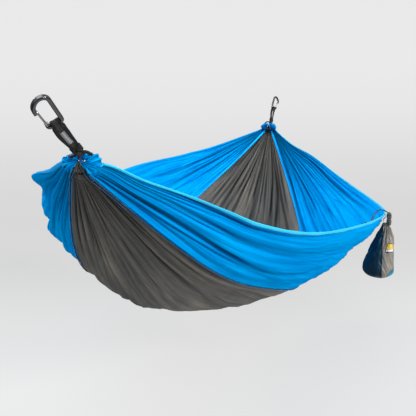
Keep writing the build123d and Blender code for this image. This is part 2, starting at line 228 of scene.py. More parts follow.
def tex_noise(nt, vec, scale, detail=4.0, rough=0.55, distortion=0.0):
    n = nt.nodes.new("ShaderNodeTexNoise")
    n.inputs["Scale"].default_value = scale
    n.inputs["Detail"].default_value = detail
    n.inputs["Roughness"].default_value = rough
    n.inputs["Distortion"].default_value = distortion
    nt.links.new(vec, n.inputs["Vector"])
    return n.outputs["Fac"]


def mapping(nt, vec, scale):
    n = nt.nodes.new("ShaderNodeMapping")
    n.inputs["Scale"].default_value = scale
    nt.links.new(vec, n.inputs["Vector"])
    return n.outputs[0]


def coords(nt, attribute=None):
    if attribute:
        n = nt.nodes.new("ShaderNodeAttribute")
        n.attribute_name = attribute
        return n.outputs["Vector"]
    return nt.nodes.new("ShaderNodeTexCoord").outputs["Object"]


def wave(nt, vec, scale, direction):
    n = nt.nodes.new("ShaderNodeTexWave")
    n.bands_direction = direction
    n.inputs["Scale"].default_value = scale
    n.inputs["Distortion"].default_value = 0.0
    nt.links.new(vec, n.inputs["Vector"])
    return n.outputs["Fac"]


def math_node(nt, op, a, b):
    n = nt.nodes.new("ShaderNodeMath")
    n.operation = op
    for k, x in enumerate((a, b)):
        if isinstance(x, (int, float)):
            n.inputs[k].default_value = x
        else:
            nt.links.new(x, n.inputs[k])
    return n.outputs[0]


def bump_node(nt, height, strength, distance, before=None):
    n = nt.nodes.new("ShaderNodeBump")
    n.inputs["Strength"].default_value = strength
    n.inputs["Distance"].default_value = distance
    nt.links.new(height, n.inputs["Height"])
    if before is not None:
        nt.links.new(before, n.inputs["Normal"])
    return n.outputs[0]


def nylon(name, dark, mid, light, rough=(0.36, 0.52), sheen=0.12, thread=900.0, cloth="cloth", crinkle=1.0, tint=(0.8, 0.9, 1.0), spec=0.35, satin=0.0):
    """Thin parachute nylon: fine weave, hand crinkles, satin sheen, slow random shifts of tone, and painted shade that
    darkens the colour on the floors of its folds.
    """
    m, nt, bs = nodes_of(name)
    vec = coords(nt, cloth)
    obj = coords(nt)
    big = tex_noise(nt, mapping(nt, vec, (1.0, 0.35, 1.0)), 5.0, 5.0, 0.6, 0.4)
    streak = tex_noise(nt, mapping(nt, vec, (26.0, 1.6, 1.0)), 2.0, 4.0, 0.6)
    fac = math_node(nt, "ADD", math_node(nt, "MULTIPLY", big, 0.62), math_node(nt, "MULTIPLY", streak, 0.38))
    col = ramp(nt, fac, [(0.30, dark), (0.5, mid), (0.72, light)])
    # painted shade: the fold attribute mixes the colour towards 0.12 of the dark tone, up to 72 %, on fold floors and
    # between puckers
    at = nt.nodes.new("ShaderNodeAttribute")
    at.attribute_name = "fold"
    mix = nt.nodes.new("ShaderNodeMix")
    mix.data_type = "RGBA"
    nt.links.new(math_node(nt, "MULTIPLY", at.outputs["Fac"], 0.72), mix.inputs["Factor"])
    nt.links.new(col, mix.inputs["A"])
    mix.inputs["B"].default_value = (*[c * 0.12 for c in dark], 1)
    nt.links.new(mix.outputs["Result"], bs.inputs["Base Color"])
    r = nt.nodes.new("ShaderNodeMapRange")
    r.inputs["To Min"].default_value, r.inputs["To Max"].default_value = rough
    nt.links.new(tex_noise(nt, obj, 22.0, 5.0), r.inputs["Value"])
    nt.links.new(r.outputs[0], bs.inputs["Roughness"])
    bs.inputs["Specular IOR Level"].default_value = spec
    bs.inputs["Metallic"].default_value = satin
    bs.inputs["Specular Tint"].default_value = (*tint, 1)
    bs.inputs["Sheen Weight"].default_value = sheen
    bs.inputs["Sheen Roughness"].default_value = 0.35
    bs.inputs["Sheen Tint"].default_value = (*tint, 1)
    wx, wy = wave(nt, vec, thread, "X"), wave(nt, vec, thread, "Y")
    weave = math_node(nt, "MULTIPLY", wx, wy)
    n1 = bump_node(nt, weave, 0.25, 0.0002)
    n2 = bump_node(nt, tex_noise(nt, mapping(nt, vec, (1.0, 0.55, 1.0)), 60.0, 6.0, 0.62, 0.8), 0.35 * crinkle, 0.002, n1)
    n3 = bump_node(nt, tex_noise(nt, mapping(nt, vec, (1.0, 0.3, 1.0)), 17.0, 4.0, 0.55, 1.2), 0.5 * crinkle, 0.006, n2)
    nt.links.new(n3, bs.inputs["Normal"])
    return m


def webbing_material(name, base, rib=900.0, band=None):
    m, nt, bs = nodes_of(name)
    vec = coords(nt, "cloth")
    fac = tex_noise(nt, vec, 120.0, 4.0)
    col = ramp(nt, fac, [(0.3, [c * 0.6 for c in base]), (0.7, [min(1, c * 1.5) for c in base])])
    if band:
        sep = nt.nodes.new("ShaderNodeSeparateXYZ")
        nt.links.new(vec, sep.inputs[0])
        w = math_node(nt, "ABSOLUTE", sep.outputs[0], 0.0)
        mask = ramp(nt, math_node(nt, "MULTIPLY", w, 100.0), [(0.0, (1, 1, 1)), (0.36, (1, 1, 1)), (0.44, (0, 0, 0))])
        mix = nt.nodes.new("ShaderNodeMix")
        mix.data_type = "RGBA"
        nt.links.new(mask, mix.inputs["Factor"])
        nt.links.new(col, mix.inputs["A"])
        col2 = ramp(nt, fac, [(0.3, [c * 0.6 for c in band]), (0.7, [min(1, c * 1.4) for c in band])])
        nt.links.new(col2, mix.inputs["B"])
        col = mix.outputs["Result"]
    nt.links.new(col, bs.inputs["Base Color"])
    bs.inputs["Roughness"].default_value = 0.62
    bs.inputs["Specular IOR Level"].default_value = 0.2
    bs.inputs["Sheen Weight"].default_value = 0.04
    bs.inputs["Sheen Roughness"].default_value = 0.4
    ribs = wave(nt, vec, rib, "Y")
    twill = wave(nt, vec, rib * 0.7, "DIAGONAL")
    n1 = bump_node(nt, math_node(nt, "ADD", ribs, twill), 0.8, 0.0004)
    nt.links.new(n1, bs.inputs["Normal"])
    return m


def braid(name, base, scale=1400.0, rough=0.6):
    m, nt, bs = nodes_of(name)
    obj = coords(nt)
    vor = nt.nodes.new("ShaderNodeTexVoronoi")
    vor.inputs["Scale"].default_value = scale
    nt.links.new(obj, vor.inputs["Vector"])
    col = ramp(nt, vor.outputs["Distance"], [(0.0, [min(1, c * 2.2 + 0.01) for c in base]), (0.6, base)])
    nt.links.new(col, bs.inputs["Base Color"])
    bs.inputs["Roughness"].default_value = rough
    bs.inputs["Specular IOR Level"].default_value = 0.25
    bs.inputs["Sheen Weight"].default_value = 0.08
    nt.links.new(bump_node(nt, vor.outputs["Distance"], 0.6, 0.0005), bs.inputs["Normal"])
    return m


def metal(name, base, rough=(0.16, 0.34), stretch=(1, 1, 1), scratch=0.12):
    m, nt, bs = nodes_of(name)
    obj = coords(nt)
    bs.inputs["Metallic"].default_value = 1.0
    fac = tex_noise(nt, mapping(nt, obj, stretch), 300.0, 6.0, 0.7)
    col = ramp(nt, fac, [(0.25, [c * 0.82 for c in base]), (0.75, [min(1, c * 1.08) for c in base])])
    nt.links.new(col, bs.inputs["Base Color"])
    r = nt.nodes.new("ShaderNodeMapRange")
    r.inputs["To Min"].default_value, r.inputs["To Max"].default_value = rough
    nt.links.new(tex_noise(nt, obj, 90.0, 6.0), r.inputs["Value"])
    nt.links.new(r.outputs[0], bs.inputs["Roughness"])
    nt.links.new(bump_node(nt, fac, scratch, 0.0003), bs.inputs["Normal"])
    return m


def plastic(name, base):
    m, nt, bs = nodes_of(name)
    obj = coords(nt)
    fac = tex_noise(nt, obj, 900.0, 4.0)
    nt.links.new(ramp(nt, fac, [(0.3, base), (0.8, [min(1, c * 1.6 + 0.004) for c in base])]), bs.inputs["Base Color"])
    r = nt.nodes.new("ShaderNodeMapRange")
    r.inputs["To Min"].default_value, r.inputs["To Max"].default_value = 0.32, 0.5
    nt.links.new(tex_noise(nt, obj, 200.0, 4.0), r.inputs["Value"])
    nt.links.new(r.outputs[0], bs.inputs["Roughness"])
    nt.links.new(bump_node(nt, fac, 0.25, 0.0003), bs.inputs["Normal"])
    return m


BLUE = nylon("nylon_azure", (0.000, 0.200, 0.57), (0.000, 0.31, 0.78), (0.000, 0.43, 0.92), sheen=0.0, tint=(0.02, 0.75, 1.0), spec=0.0, satin=0.22)
# painted light: the right rim's hem is a lighter cyan copy standing for the highlight along the rolled hem, and the
# next one a darker copy for the shaded left rim
HEM_LIT = nylon("nylon_azure_hem", (0.004, 0.38, 0.66), (0.012, 0.50, 0.78), (0.05, 0.62, 0.86), sheen=0.25, tint=(0.5, 0.95, 1.0), crinkle=0.6)
HEM_SHADED = nylon("nylon_azure_hem_dull", (0.000, 0.20, 0.50), (0.001, 0.29, 0.68), (0.004, 0.40, 0.80), sheen=0.0, tint=(0.1, 0.8, 1.0), crinkle=0.6, spec=0.05)
GREY = nylon("nylon_charcoal", (0.034, 0.040, 0.043), (0.098, 0.094, 0.085), (0.245, 0.218, 0.175), sheen=0.03, tint=(0.9, 0.95, 1.0), spec=0.22)
# painted shadow: near-black cloth for the felled seam ridges, standing for the shadow under the overlapped edge
SEAM_SHADOW = nylon("seam_allowance", (0.006, 0.005, 0.005), (0.012, 0.010, 0.009), (0.022, 0.018, 0.015), sheen=0.1)
THREAD = braid("thread_grey", (0.30, 0.31, 0.32), 3000.0)
THREAD_BLUE = braid("thread_blue", (0.01, 0.20, 0.50), 3000.0)
WEB = webbing_material("webbing_black", (0.006, 0.006, 0.007), band=(0.030, 0.030, 0.033))
CORD = braid("cord_black", (0.004, 0.004, 0.005), 900.0)
ALLOY = metal("alloy_polished", (0.125, 0.13, 0.135), (0.12, 0.26))
STEEL = metal("gate_steel", (0.55, 0.55, 0.56), (0.12, 0.25))
PLASTIC = plastic("lock_plastic", (0.006, 0.006, 0.007))
SACK_GREY = nylon("sack_taupe", (0.14, 0.125, 0.105), (0.21, 0.19, 0.16), (0.30, 0.28, 0.24), sheen=0.3)
# painted shade: near-black navy standing for the sack's blue in shadow, on the inner half; the label border, base
# piping and side seams use it too
SACK_SHADED_BLUE = nylon("sack_navy", (0.001, 0.010, 0.022), (0.002, 0.021, 0.040), (0.004, 0.038, 0.062), sheen=0.15, tint=(0.4, 0.7, 1.0))
SACK_BLUE = nylon("sack_base_blue", (0.002, 0.12, 0.24), (0.006, 0.22, 0.36), (0.02, 0.34, 0.50), sheen=0.3)
SACK_MOUTH = nylon("sack_channel", (0.035, 0.034, 0.033), (0.085, 0.082, 0.078), (0.17, 0.165, 0.155), sheen=0.3)
LABEL = nylon("label_yellow", (0.62, 0.40, 0.03), (0.78, 0.52, 0.05), (0.85, 0.62, 0.12), sheen=0.1, thread=1500.0, crinkle=0.3)
LABEL_WHITE = nylon("label_white", (0.62, 0.62, 0.60), (0.72, 0.72, 0.70), (0.80, 0.80, 0.78), sheen=0.1, thread=1500.0, crinkle=0.3)
TAPE = nylon("tape_white", (0.42, 0.46, 0.56), (0.55, 0.60, 0.70), (0.70, 0.74, 0.82), sheen=0.2, thread=1200.0, crinkle=0.4)


def paint(ob, mat):
    ob.data.materials.clear()
    ob.data.materials.append(mat)
    return ob


# ------------------------------------------------------------------ drawcord
DRAW_A = [(1.32656, -0.59632, -0.3666), (1.31976, -0.57908, -0.3555), (1.29039, -0.5609, -0.349), (1.25174, -0.54809, -0.3535), (1.2064, -0.54073, -0.364), (1.16044, -0.53336, -0.376), (1.10444, -0.51826, -0.376)]
DRAW_B = [(1.32344, -0.59768, -0.3666), (1.31624, -0.58292, -0.3555), (1.28761, -0.5671, -0.349), (1.25026, -0.55391, -0.3535), (1.2056, -0.54527, -0.364), (1.15956, -0.53664, -0.376), (1.10356, -0.52154, -0.376)]
CORD_D = 0.0024


def drawcord(name, pts, node):
    cu = bpy.data.curves.new(name, "CURVE")
    cu.dimensions = "3D"
    cu.resolution_u = 8
    sp = cu.splines.new("NURBS")
    sp.points.add(len(pts) - 1)
    for p, co in zip(sp.points, pts):
        p.co = (*co, 1)
        p.radius = CORD_D / 2
    sp.order_u = 3
    sp.use_endpoint_u = True
    cu.bevel_depth = 1.0
    cu.bevel_resolution = 3
    cu.use_fill_caps = True
    ob = bpy.data.objects.new(name, cu)
    bpy.context.scene.collection.objects.link(ob)
    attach(ob, "root")
    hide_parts(node)
    ob.data.materials.append(CORD)
    return ob


drawcord("drawcord_inner", DRAW_A, "drawcord_inner_end")
drawcord("drawcord_outer", DRAW_B, "drawcord_outer_end")


# ------------------------------------------------------------------ the bed's cloth
def smooth_noise(n, knots, seed):
    """n random values between -1 and 1 joined smoothly through knots values."""
    r = np.random.default_rng(seed)
    v = r.uniform(-1, 1, knots + 3)
    x = np.linspace(0, knots, n)
    i = np.floor(x).astype(int)
    f = x - i
    i = np.clip(i, 0, knots - 1)
    p0, p1, p2, p3 = v[i], v[i + 1], v[i + 2], v[np.minimum(i + 3, knots + 2)]
    return 0.5 * (2 * p1 + (p2 - p0) * f + (2 * p0 - 5 * p1 + 4 * p2 - p3) * f ** 2 + (3 * p1 - p0 - 3 * p2 + p3) * f ** 3)


def value_noise(x, y, seed):
    """Smooth 2-D value noise for whole arrays."""
    r = np.random.default_rng(seed)
    t = r.uniform(-1, 1, (64, 64))
    xi, yi = np.floor(x).astype(int), np.floor(y).astype(int)
    fx, fy = x - xi, y - yi
    fx, fy = fx * fx * (3 - 2 * fx), fy * fy * (3 - 2 * fy)
    g = lambda a, b: t[a % 64, b % 64]
    return (g(xi, yi) * (1 - fx) + g(xi + 1, yi) * fx) * (1 - fy) + (g(xi, yi + 1) * (1 - fx) + g(xi + 1, yi + 1) * fx) * fy


ROWS = 236
tt = np.linspace(0, 1, ROWS)
U = FIRST + (1 - 2 * FIRST) * (0.6 * (0.5 - 0.5 * np.cos(np.pi * tt)) + 0.4 * tt)

PANELS = {  # name: (low angle, high angle, columns, seed, cloth width in m)
    "left": (rim_left, lambda u: SEAM_L + 0 * u, 160, 5, 0.34),
    "centre": (lambda u: SEAM_L + 0 * u, lambda u: SEAM_R + 0 * u, 250, 21, 0.74),
    "right": (lambda u: SEAM_R + 0 * u, lambda u: RIM_R + 0 * u, 180, 9, 0.43),
}


def grooves(u, c, arc, seed, end, count, depth, reach, width=0.30):
    """Narrow valleys that fan out from a gathered end, in mm deep, and how much painted shade each place in them gets.
    """
    r = np.random.default_rng(seed + 100 * end)
    d = u if end == 0 else 1 - u
    gaps = r.uniform(0.45, 1.6, count + 1)
    pos = np.cumsum(gaps)[:-1] / gaps.sum()
    space = arc / count
    h, dark = np.zeros_like(u), np.zeros_like(u)
    for k in range(count):
        lean, strong, far = r.uniform(-0.5, 0.5) / count, r.uniform(0.4, 1.1), r.uniform(*reach)
        wig, ph, wide = r.uniform(0.12, 0.36) / count, r.uniform(0, 6.3), r.uniform(0.6, 1.5)
        ck = pos[k] + lean * (d / 0.3) + wig * np.sin(d * 21 + ph)
        x = (c - ck) * arc / (width * space * wide + 1.3)
        fade = (1 - np.exp(-d / 0.006)) * np.exp(-(d / far) ** 1.8)
        h += strong * np.minimum(depth, 1.15 * space + 2.0) * fade * np.exp(-np.abs(x) ** 1.25)
        dark += strong * fade * np.exp(-(x * 1.5) ** 2)
    return h, np.clip(dark, 0, 1)


def cloth_height(u, c, psi, name):
    """Offset from the smooth bed, in mm outwards, and how shaded the fold is."""
    lo, hi, per, seed, width = PANELS[name]
    arc = np.radians(np.abs(hi(u) - lo(u))) * radius(u)
    rows = {"left": ((9, 22.0, (0.08, 0.26)), (10, 18.0, (0.08, 0.30))),
            "centre": ((15, 30.0, (0.14, 0.40)), (16, 25.0, (0.14, 0.38))),
            "right": ((8, 30.0, (0.07, 0.28)), (12, 27.0, (0.09, 0.34)))}[name]
    h, dark = np.zeros_like(u), np.zeros_like(u)
    for end, (count, depth, reach) in enumerate(rows):
        sgn = -1 if end == 0 else 1
        d = u if end == 0 else 1 - u
        g, k = grooves(u, c, arc, seed, end, count, depth, reach)
        h, dark = h + sgn * g, dark + k
        # calm also scales the painted shade of the finer grooves
        calm = {("right", 0): 0.45, ("left", 1): 0.75, ("right", 1): 1.5}.get((name, end), 1.0)
        g, k = grooves(u, c, arc, seed + 40, end, int(count * 2.4), depth * 0.60, (0.05, 0.22), 0.30)
        h, dark = h + sgn * g, dark + 0.5 * calm * k
        g, k = grooves(u, c, arc, seed + 60, end, int(count * 1.5), depth * 0.34 * calm, (0.14, 0.46), 0.22)
        h, dark = h + sgn * g * np.minimum(1, d / 0.1), dark + 0.35 * calm * k
    middle = np.clip(1 - np.abs(2 * u - 1) ** 3, 0, 1)
    # long soft folds and hand creases
    fold = value_noise(c * 4.2 + seed, u * 3.1, seed + 1)
    h += 4.5 * middle * fold
    fine = value_noise(c * 13.0 + u * 4 + seed, u * 5.0 + c * 1.5, seed + 2)
    h += 2.4 * middle * (1 - 2 * np.abs(fine) ** 0.6)
    h += 1.1 * middle * (1 - 2 * np.abs(value_noise(c * 34.0 - u * 9, u * 12.0 + c * 5, seed + 6)) ** 0.6)
    h += 0.45 * value_noise(c * 60.0, u * 60.0, seed + 7)
    if name == "right":
        env = np.exp(-0.5 * ((u - 0.33) / 0.17) ** 2)
        h += 10.0 * env * np.cos(2 * np.pi * (1.75 * c - 0.50)) * np.sin(np.pi * np.clip(c, 0, 1)) ** 0.7
        h -= 7.0 * np.exp(-0.5 * ((u - 0.56) / 0.10) ** 2) * np.sin(np.pi * np.clip(c, 0, 1))
    if name == "left":  # the free edge near the gathered end falls in three lobes
        env = np.exp(-0.5 * ((u - 0.15) / 0.085) ** 2)
        f = (c * 3.0 + 0.16) % 1.0
        h += 26.0 * env * ((1 - np.abs(2 * f - 1) ** 2.2) - 0.55) * np.clip((1.0 - c) / 0.12, 0, 1)
        h += 38.0 * np.exp(-0.5 * ((u - 0.082) / 0.018) ** 2) * np.exp(-(c / 0.13) ** 2) - 9.0 * env * np.exp(-((c - 0.40) / 0.15) ** 2)
        h -= 22.0 * np.exp(-0.5 * ((u - 0.150) / 0.034) ** 2) * np.exp(-(c / 0.20) ** 2)
        h += 21.0 * np.exp(-0.5 * ((u - 0.225) / 0.05) ** 2) * np.exp(-((c - 0.34) / 0.26) ** 2)
        # painted shade in the creases between the lobes
        dark += env * np.exp(-(np.minimum(f, 1 - f) / 0.05) ** 2)
    # puckers along the seams and rims
    for edge in (0.0, 1.0):
        dist = np.abs(c - edge) * width
        h += 1.1 * np.exp(-dist / 0.018) * np.sin(2 * np.pi * u * 74 + 5 * value_noise(u * 40, c * 0 + edge, seed + 9)) * middle
    if name == "right":  # the sack draws tight wrinkles out of its corner of the rim
        du, dc = (u - 0.5) * SPAN, (1 - c) * radius(u) * math.radians(RIM_R - SEAM_R)
        rho = np.hypot(du, dc) + 1e-6
        ang = np.arctan2(dc, du)
        fall = np.exp(-rho / 300.0) * rho / (rho + 25.0)
        crest = 1 - 2 * np.abs(np.sin(6.5 * ang + 0.8 * value_noise(ang * 3 + 5, rho / 110.0, 71))) ** 0.7
        h += 4.6 * fall * crest * (0.35 + 0.65 * (du > 0))
        h += 3.0 * np.exp(-rho / 400.0) * (1 - 2 * np.abs(value_noise(ang * 9 + 50, rho / 60.0 + 50, 72)) ** 0.6)
    if name in ("left", "right"):  # slack cloth beside the far gathers
        g = np.exp(-0.5 * ((u - 0.80) / 0.10) ** 2)
        h += 5.0 * g * (1 - 2 * np.abs(value_noise(c * 5 + u * 9 + 3, u * 6 - c * 4, seed + 12)) ** 0.6)
    return h, np.clip(dark, 0, 1)


COLLAR = 14


def settle(u, psi):
    """How far, in mm, the loaded cloth hangs above or below the smooth bed."""
    soft = lambda x: np.clip(x, 0, 1) ** 2 * (3 - 2 * np.clip(x, 0, 1))
    at = lambda p, q, w: np.exp(-0.5 * ((p - q) / w) ** 2)
    lift = (29.0 - 7.0 * soft((psi - 28.0) / 38.0)) * soft((psi + 2.0) / 30.0) * at(u, 0.332 - 0.012 * soft((psi - 40.0) / 26.0), 0.085)
    lift += 18.0 * at(psi, 41.0, 7.0) * at(u, 0.425, 0.04)
    shoulder = 11.0 * soft((psi - 34.0) / 26.0) * at(u, 0.010, 0.013)
    drop = 33.0 * at(u, 0.30, 0.11) * at(psi, -21.0, 10.0)
    far = 25.0 * soft((-psi - 42.0) / 20.0) * at(u, 0.835, 0.078) + 22.0 * soft((psi - 40.0) / 22.0) * at(u, 0.955, 0.03)
    flap = 10.0 * soft((-psi - 46.0) / 14.0) * at(u, 0.045, 0.022)
    return lift + shoulder - drop - far - flap


def panel_points(name):
    lo, hi, cols, seed, width = PANELS[name]
    c = np.linspace(0, 1, cols)
    UU, C = np.meshgrid(U, c, indexing="ij")
    psi = lo(UU) + (hi(UU) - lo(UU)) * C
    h, dark = cloth_height(UU, C, psi, name)
    hold = np.minimum(1, np.minimum(C, 1 - C) / 0.05) ** 0.5
    h = h * (0.3 + 0.7 * hold)
    P = bed(UU, psi, h)
    P[..., 2] += settle(UU, psi)
    along = np.concatenate([[0], np.cumsum(np.linalg.norm(np.diff(bed(U, 0 * U), axis=0), axis=1))]) / 1000
    near, far = [], []
    for end, store in ((0, near), (-1, far)):
        r0, neck, sgn = radius(U[end]), (A, B)[end], (-1, 1)[end]
        h0, ps = h[end], np.radians(psi[end])
        for k in range(1, COLLAR + 1):
            w = k / COLLAR
            q = math.sin(w * math.pi / 2)
            keep = np.clip(np.abs(psi[end]) - 40, 0, 30) / 30          # the rims gather less deeply than the middle
            deep = (r0 - 19.0) * (1 - 0.45 * keep)
            r = r0 - deep * (1 - math.cos(w * math.pi / 2)) + h0 * (1 - 0.35 * w)
            x = neck[0] - sgn * 12.8 + sgn * (19.0 - 7.0 * keep) * q + sgn * 0.9 * h0 * w
            # painted shade: the collar rows keep most of the fold shade and are painted much darker in the rows closest
            # to the neck
            store.append((np.stack([x + 0 * r, -r * np.sin(ps), neck[2] - r * np.cos(ps) + (1 - w) * settle(UU[end], psi[end])], -1), dark[end] * (1 - 0.3 * w) + 0.5 * max(0.0, w - 0.8) * 5))
    rows = [p for p, _ in near[::-1]] + list(P) + [p for p, _ in far]
    shade = [d for _, d in near[::-1]] + list(dark) + [d for _, d in far]
    step = np.arange(1, COLLAR + 1) * 0.0028
    along = np.concatenate([-step[::-1], along, along[-1] + step])
    P = np.array(rows)
    C = np.broadcast_to(c, P.shape[:2])
    cloth = np.stack([C * width, np.broadcast_to(along[:, None], C.shape), 0 * C], -1)
    SHADE[name] = np.clip(np.array(shade), 0, 1)
    return P, cloth


def surface_normal(P):
    du, dc = np.gradient(P, axis=0), np.gradient(P, axis=1)
    return unit(np.cross(du, dc))


def outward(P, N):
    axis = np.stack([P[..., 0], 0 * P[..., 0], A[2] + 0 * P[..., 0]], -1)
    s = np.sign(((P - axis) * N).sum(-1, keepdims=True))
    s[s == 0] = 1
    return N * s


GRIDS, SHADE = {}, {}
for key in PANELS:
    GRIDS[key] = panel_points(key)
# neighbours share one line along each seam
for a, b in (("left", "centre"), ("centre", "right")):
    mid = (GRIDS[a][0][:, -1] + GRIDS[b][0][:, 0]) / 2
    for off in range(6):
        w = 1 - off / 6
        GRIDS[a][0][:, -1 - off] += (mid - GRIDS[a][0][:, -1]) * w if off else 0
        GRIDS[b][0][:, off] += (mid - GRIDS[b][0][:, 0]) * w if off else 0
    GRIDS[a][0][:, -1] = mid
    GRIDS[b][0][:, 0] = mid

CLOTH_T = 0.9
for key, slot, mat in (("left", "bed_blue", BLUE), ("centre", "bed_grey", GREY), ("right", "bed_blue", BLUE)):
    P, cloth = GRIDS[key]
    n, m = P.shape[:2]
    N = outward(P, surface_normal(P))
    top, low = P - N * CLOTH_T / 2, P + N * CLOTH_T / 2
    v = np.concatenate([top.reshape(-1, 3), low.reshape(-1, 3)])
    f = grid_faces(n, m).tolist() + grid_faces(n, m, base=n * m, flip=True).tolist()
    o = n * m
    border = [i * m for i in range(n)], [i * m + m - 1 for i in range(n)], list(range(m)), [(n - 1) * m + j for j in range(m)]
    for row, rev in zip(border, (True, False, False, True)):
        for a, b in zip(row, row[1:]):
            q = [a, b, b + o, a + o]
            f.append(q[::-1] if rev else q)
    # the fold attribute carries the painted shade of the grooves and collar onto both faces
    ob = mesh_object(f"bed_{key}_cloth", v, f, "root", np.concatenate([cloth.reshape(-1, 3)] * 2), shade=np.concatenate([SHADE[key].ravel()] * 2))
    bm = bmesh.new(); bm.from_mesh(ob.data); bmesh.ops.recalc_face_normals(bm, faces=bm.faces); bm.to_mesh(ob.data); bm.free()
    paint(ob, mat)
    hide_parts(f"{key}_panel")
print("cloth points", {k: g[0].shape for k, g in GRIDS.items()})


# rims: a rolled hem on each long edge, with its stitch line
def hem_profile(w, t, k=14):
    a = np.linspace(0, 2 * np.pi, k, endpoint=False)
    return np.stack([np.sign(np.cos(a)) * np.abs(np.cos(a)) ** 0.75 * t / 2, np.sin(a) * w / 2], -1)


def edge_frame(P, col, inner):
    line = P[:, col]
    t = unit(np.gradient(line, axis=0))
    into = P[:, inner] - line
    into = unit(into - (into * t).sum(-1, keepdims=True) * t)
    nrm = np.cross(t, into)
    return line, t, into, nrm


hems = []
for key, col, inner, node in (("right", -1, -5, "right_rim_hem"), ("left", 0, 4, "left_rim_hem")):
    P, _ = GRIDS[key]
    line, t, into, nrm = edge_frame(P, col, inner)
    w, th = 8.5, 4.6
    prof = hem_profile(w, th)
    k = len(prof)
    twist = 0.16 * np.sin(np.linspace(0, 160, len(line)) + 2 * smooth_noise(len(line), 30, 3))
    n2 = nrm * np.cos(twist)[:, None] + into * np.sin(twist)[:, None]
    b2 = -nrm * np.sin(twist)[:, None] + into * np.cos(twist)[:, None]
    centre = line + into * (w * 0.34)
    v, f = strip_ring(centre, n2, b2, prof)
    s = np.linspace(0, 2.78, len(line))
    cl = np.stack([np.tile(np.linspace(0, 0.02, k), (len(line), 1)), np.repeat(s[:, None], k, 1), np.zeros((len(line), k))], -1)
    ob = mesh_object(f"{key}_rolled_hem", v, f, "root", cl.reshape(-1, 3))
    # painted light: the right hem gets the lit copy with the painted highlight, the left hem the shaded copy
    paint(ob, HEM_LIT if key == "right" else HEM_SHADED)
    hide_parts(node)
    hems.append(ob)
    parts = []
    for side in (1, -1):
        parts.append(stitch_mesh(centre + into * (w * 0.26) + nrm * side * th * 0.42, nrm * side, 4.2, 3.0, 0.32, 0.1))
    sv, sf = join_parts(parts)
    so = mesh_object(f"{key}_hem_stitches", sv, sf, "root")
    paint(so, THREAD_BLUE)
    hems.append(so)

# long seams: a felled ridge outside, painted near-black as the shadow under the overlapped edge, two stitch rows, a
# flat tape inside
seams = []
for (a, b, node) in (("left", "centre", "left_seam"), ("centre", "right", "right_seam")):
    Pa, Pb = GRIDS[a][0], GRIDS[b][0]
    line = Pa[:, -1]
    t = unit(np.gradient(line, axis=0))
    across = Pb[:, 3] - Pa[:, -4]
    across = unit(across - (across * t).sum(-1, keepdims=True) * t)
    nrm = outward(line, np.cross(t, across))
    away = across if a == "left" else -across
    wave_ = 0.8 * np.sin(np.linspace(0, 190, len(line)) + 2.5 * smooth_noise(len(line), 40, 8))
    ctr = line + nrm * (1.6 + 0.4 * wave_[:, None]) + away * 2.2
    prof = hem_profile(8.5, 1.9, 12)
    v, f = strip_ring(ctr, nrm, away, prof)
    k = len(prof)
    s = np.linspace(0, 2.78, len(line))
    cl = np.stack([np.tile(np.linspace(0, 0.02, k), (len(line), 1)), np.repeat(s[:, None], k, 1), np.zeros((len(line), k))], -1)
    ob = mesh_object(f"{node}_fell", v, f, "root", cl.reshape(-1, 3))
    # painted shadow: the ridge is near-black for the shade under the overlapped edge
    paint(ob, SEAM_SHADOW)
    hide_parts(node)
    seams.append(ob)
    ctr2 = line - nrm * 1.3
    v, f = strip_ring(ctr2, nrm, away, hem_profile(10.0, 1.3, 12))
    ob = mesh_object(f"{node}_inner_fold", v, f, "root", cl.reshape(-1, 3))
    paint(ob, BLUE)
    seams.append(ob)
    parts = [stitch_mesh(ctr + away * o + nrm * 0.85, nrm, 4.2, 3.0, 0.33, 0.15) for o in (-2.6, 2.6)]
    parts += [stitch_mesh(ctr2 + away * o - nrm * 0.55, -nrm, 4.2, 3.0, 0.33, 0.15) for o in (-2.6, 2.6)]
    sv, sf = join_parts(parts)
    so = mesh_object(f"{node}_stitches", sv, sf, "root")
    paint(so, THREAD_BLUE)
    seams.append(so)


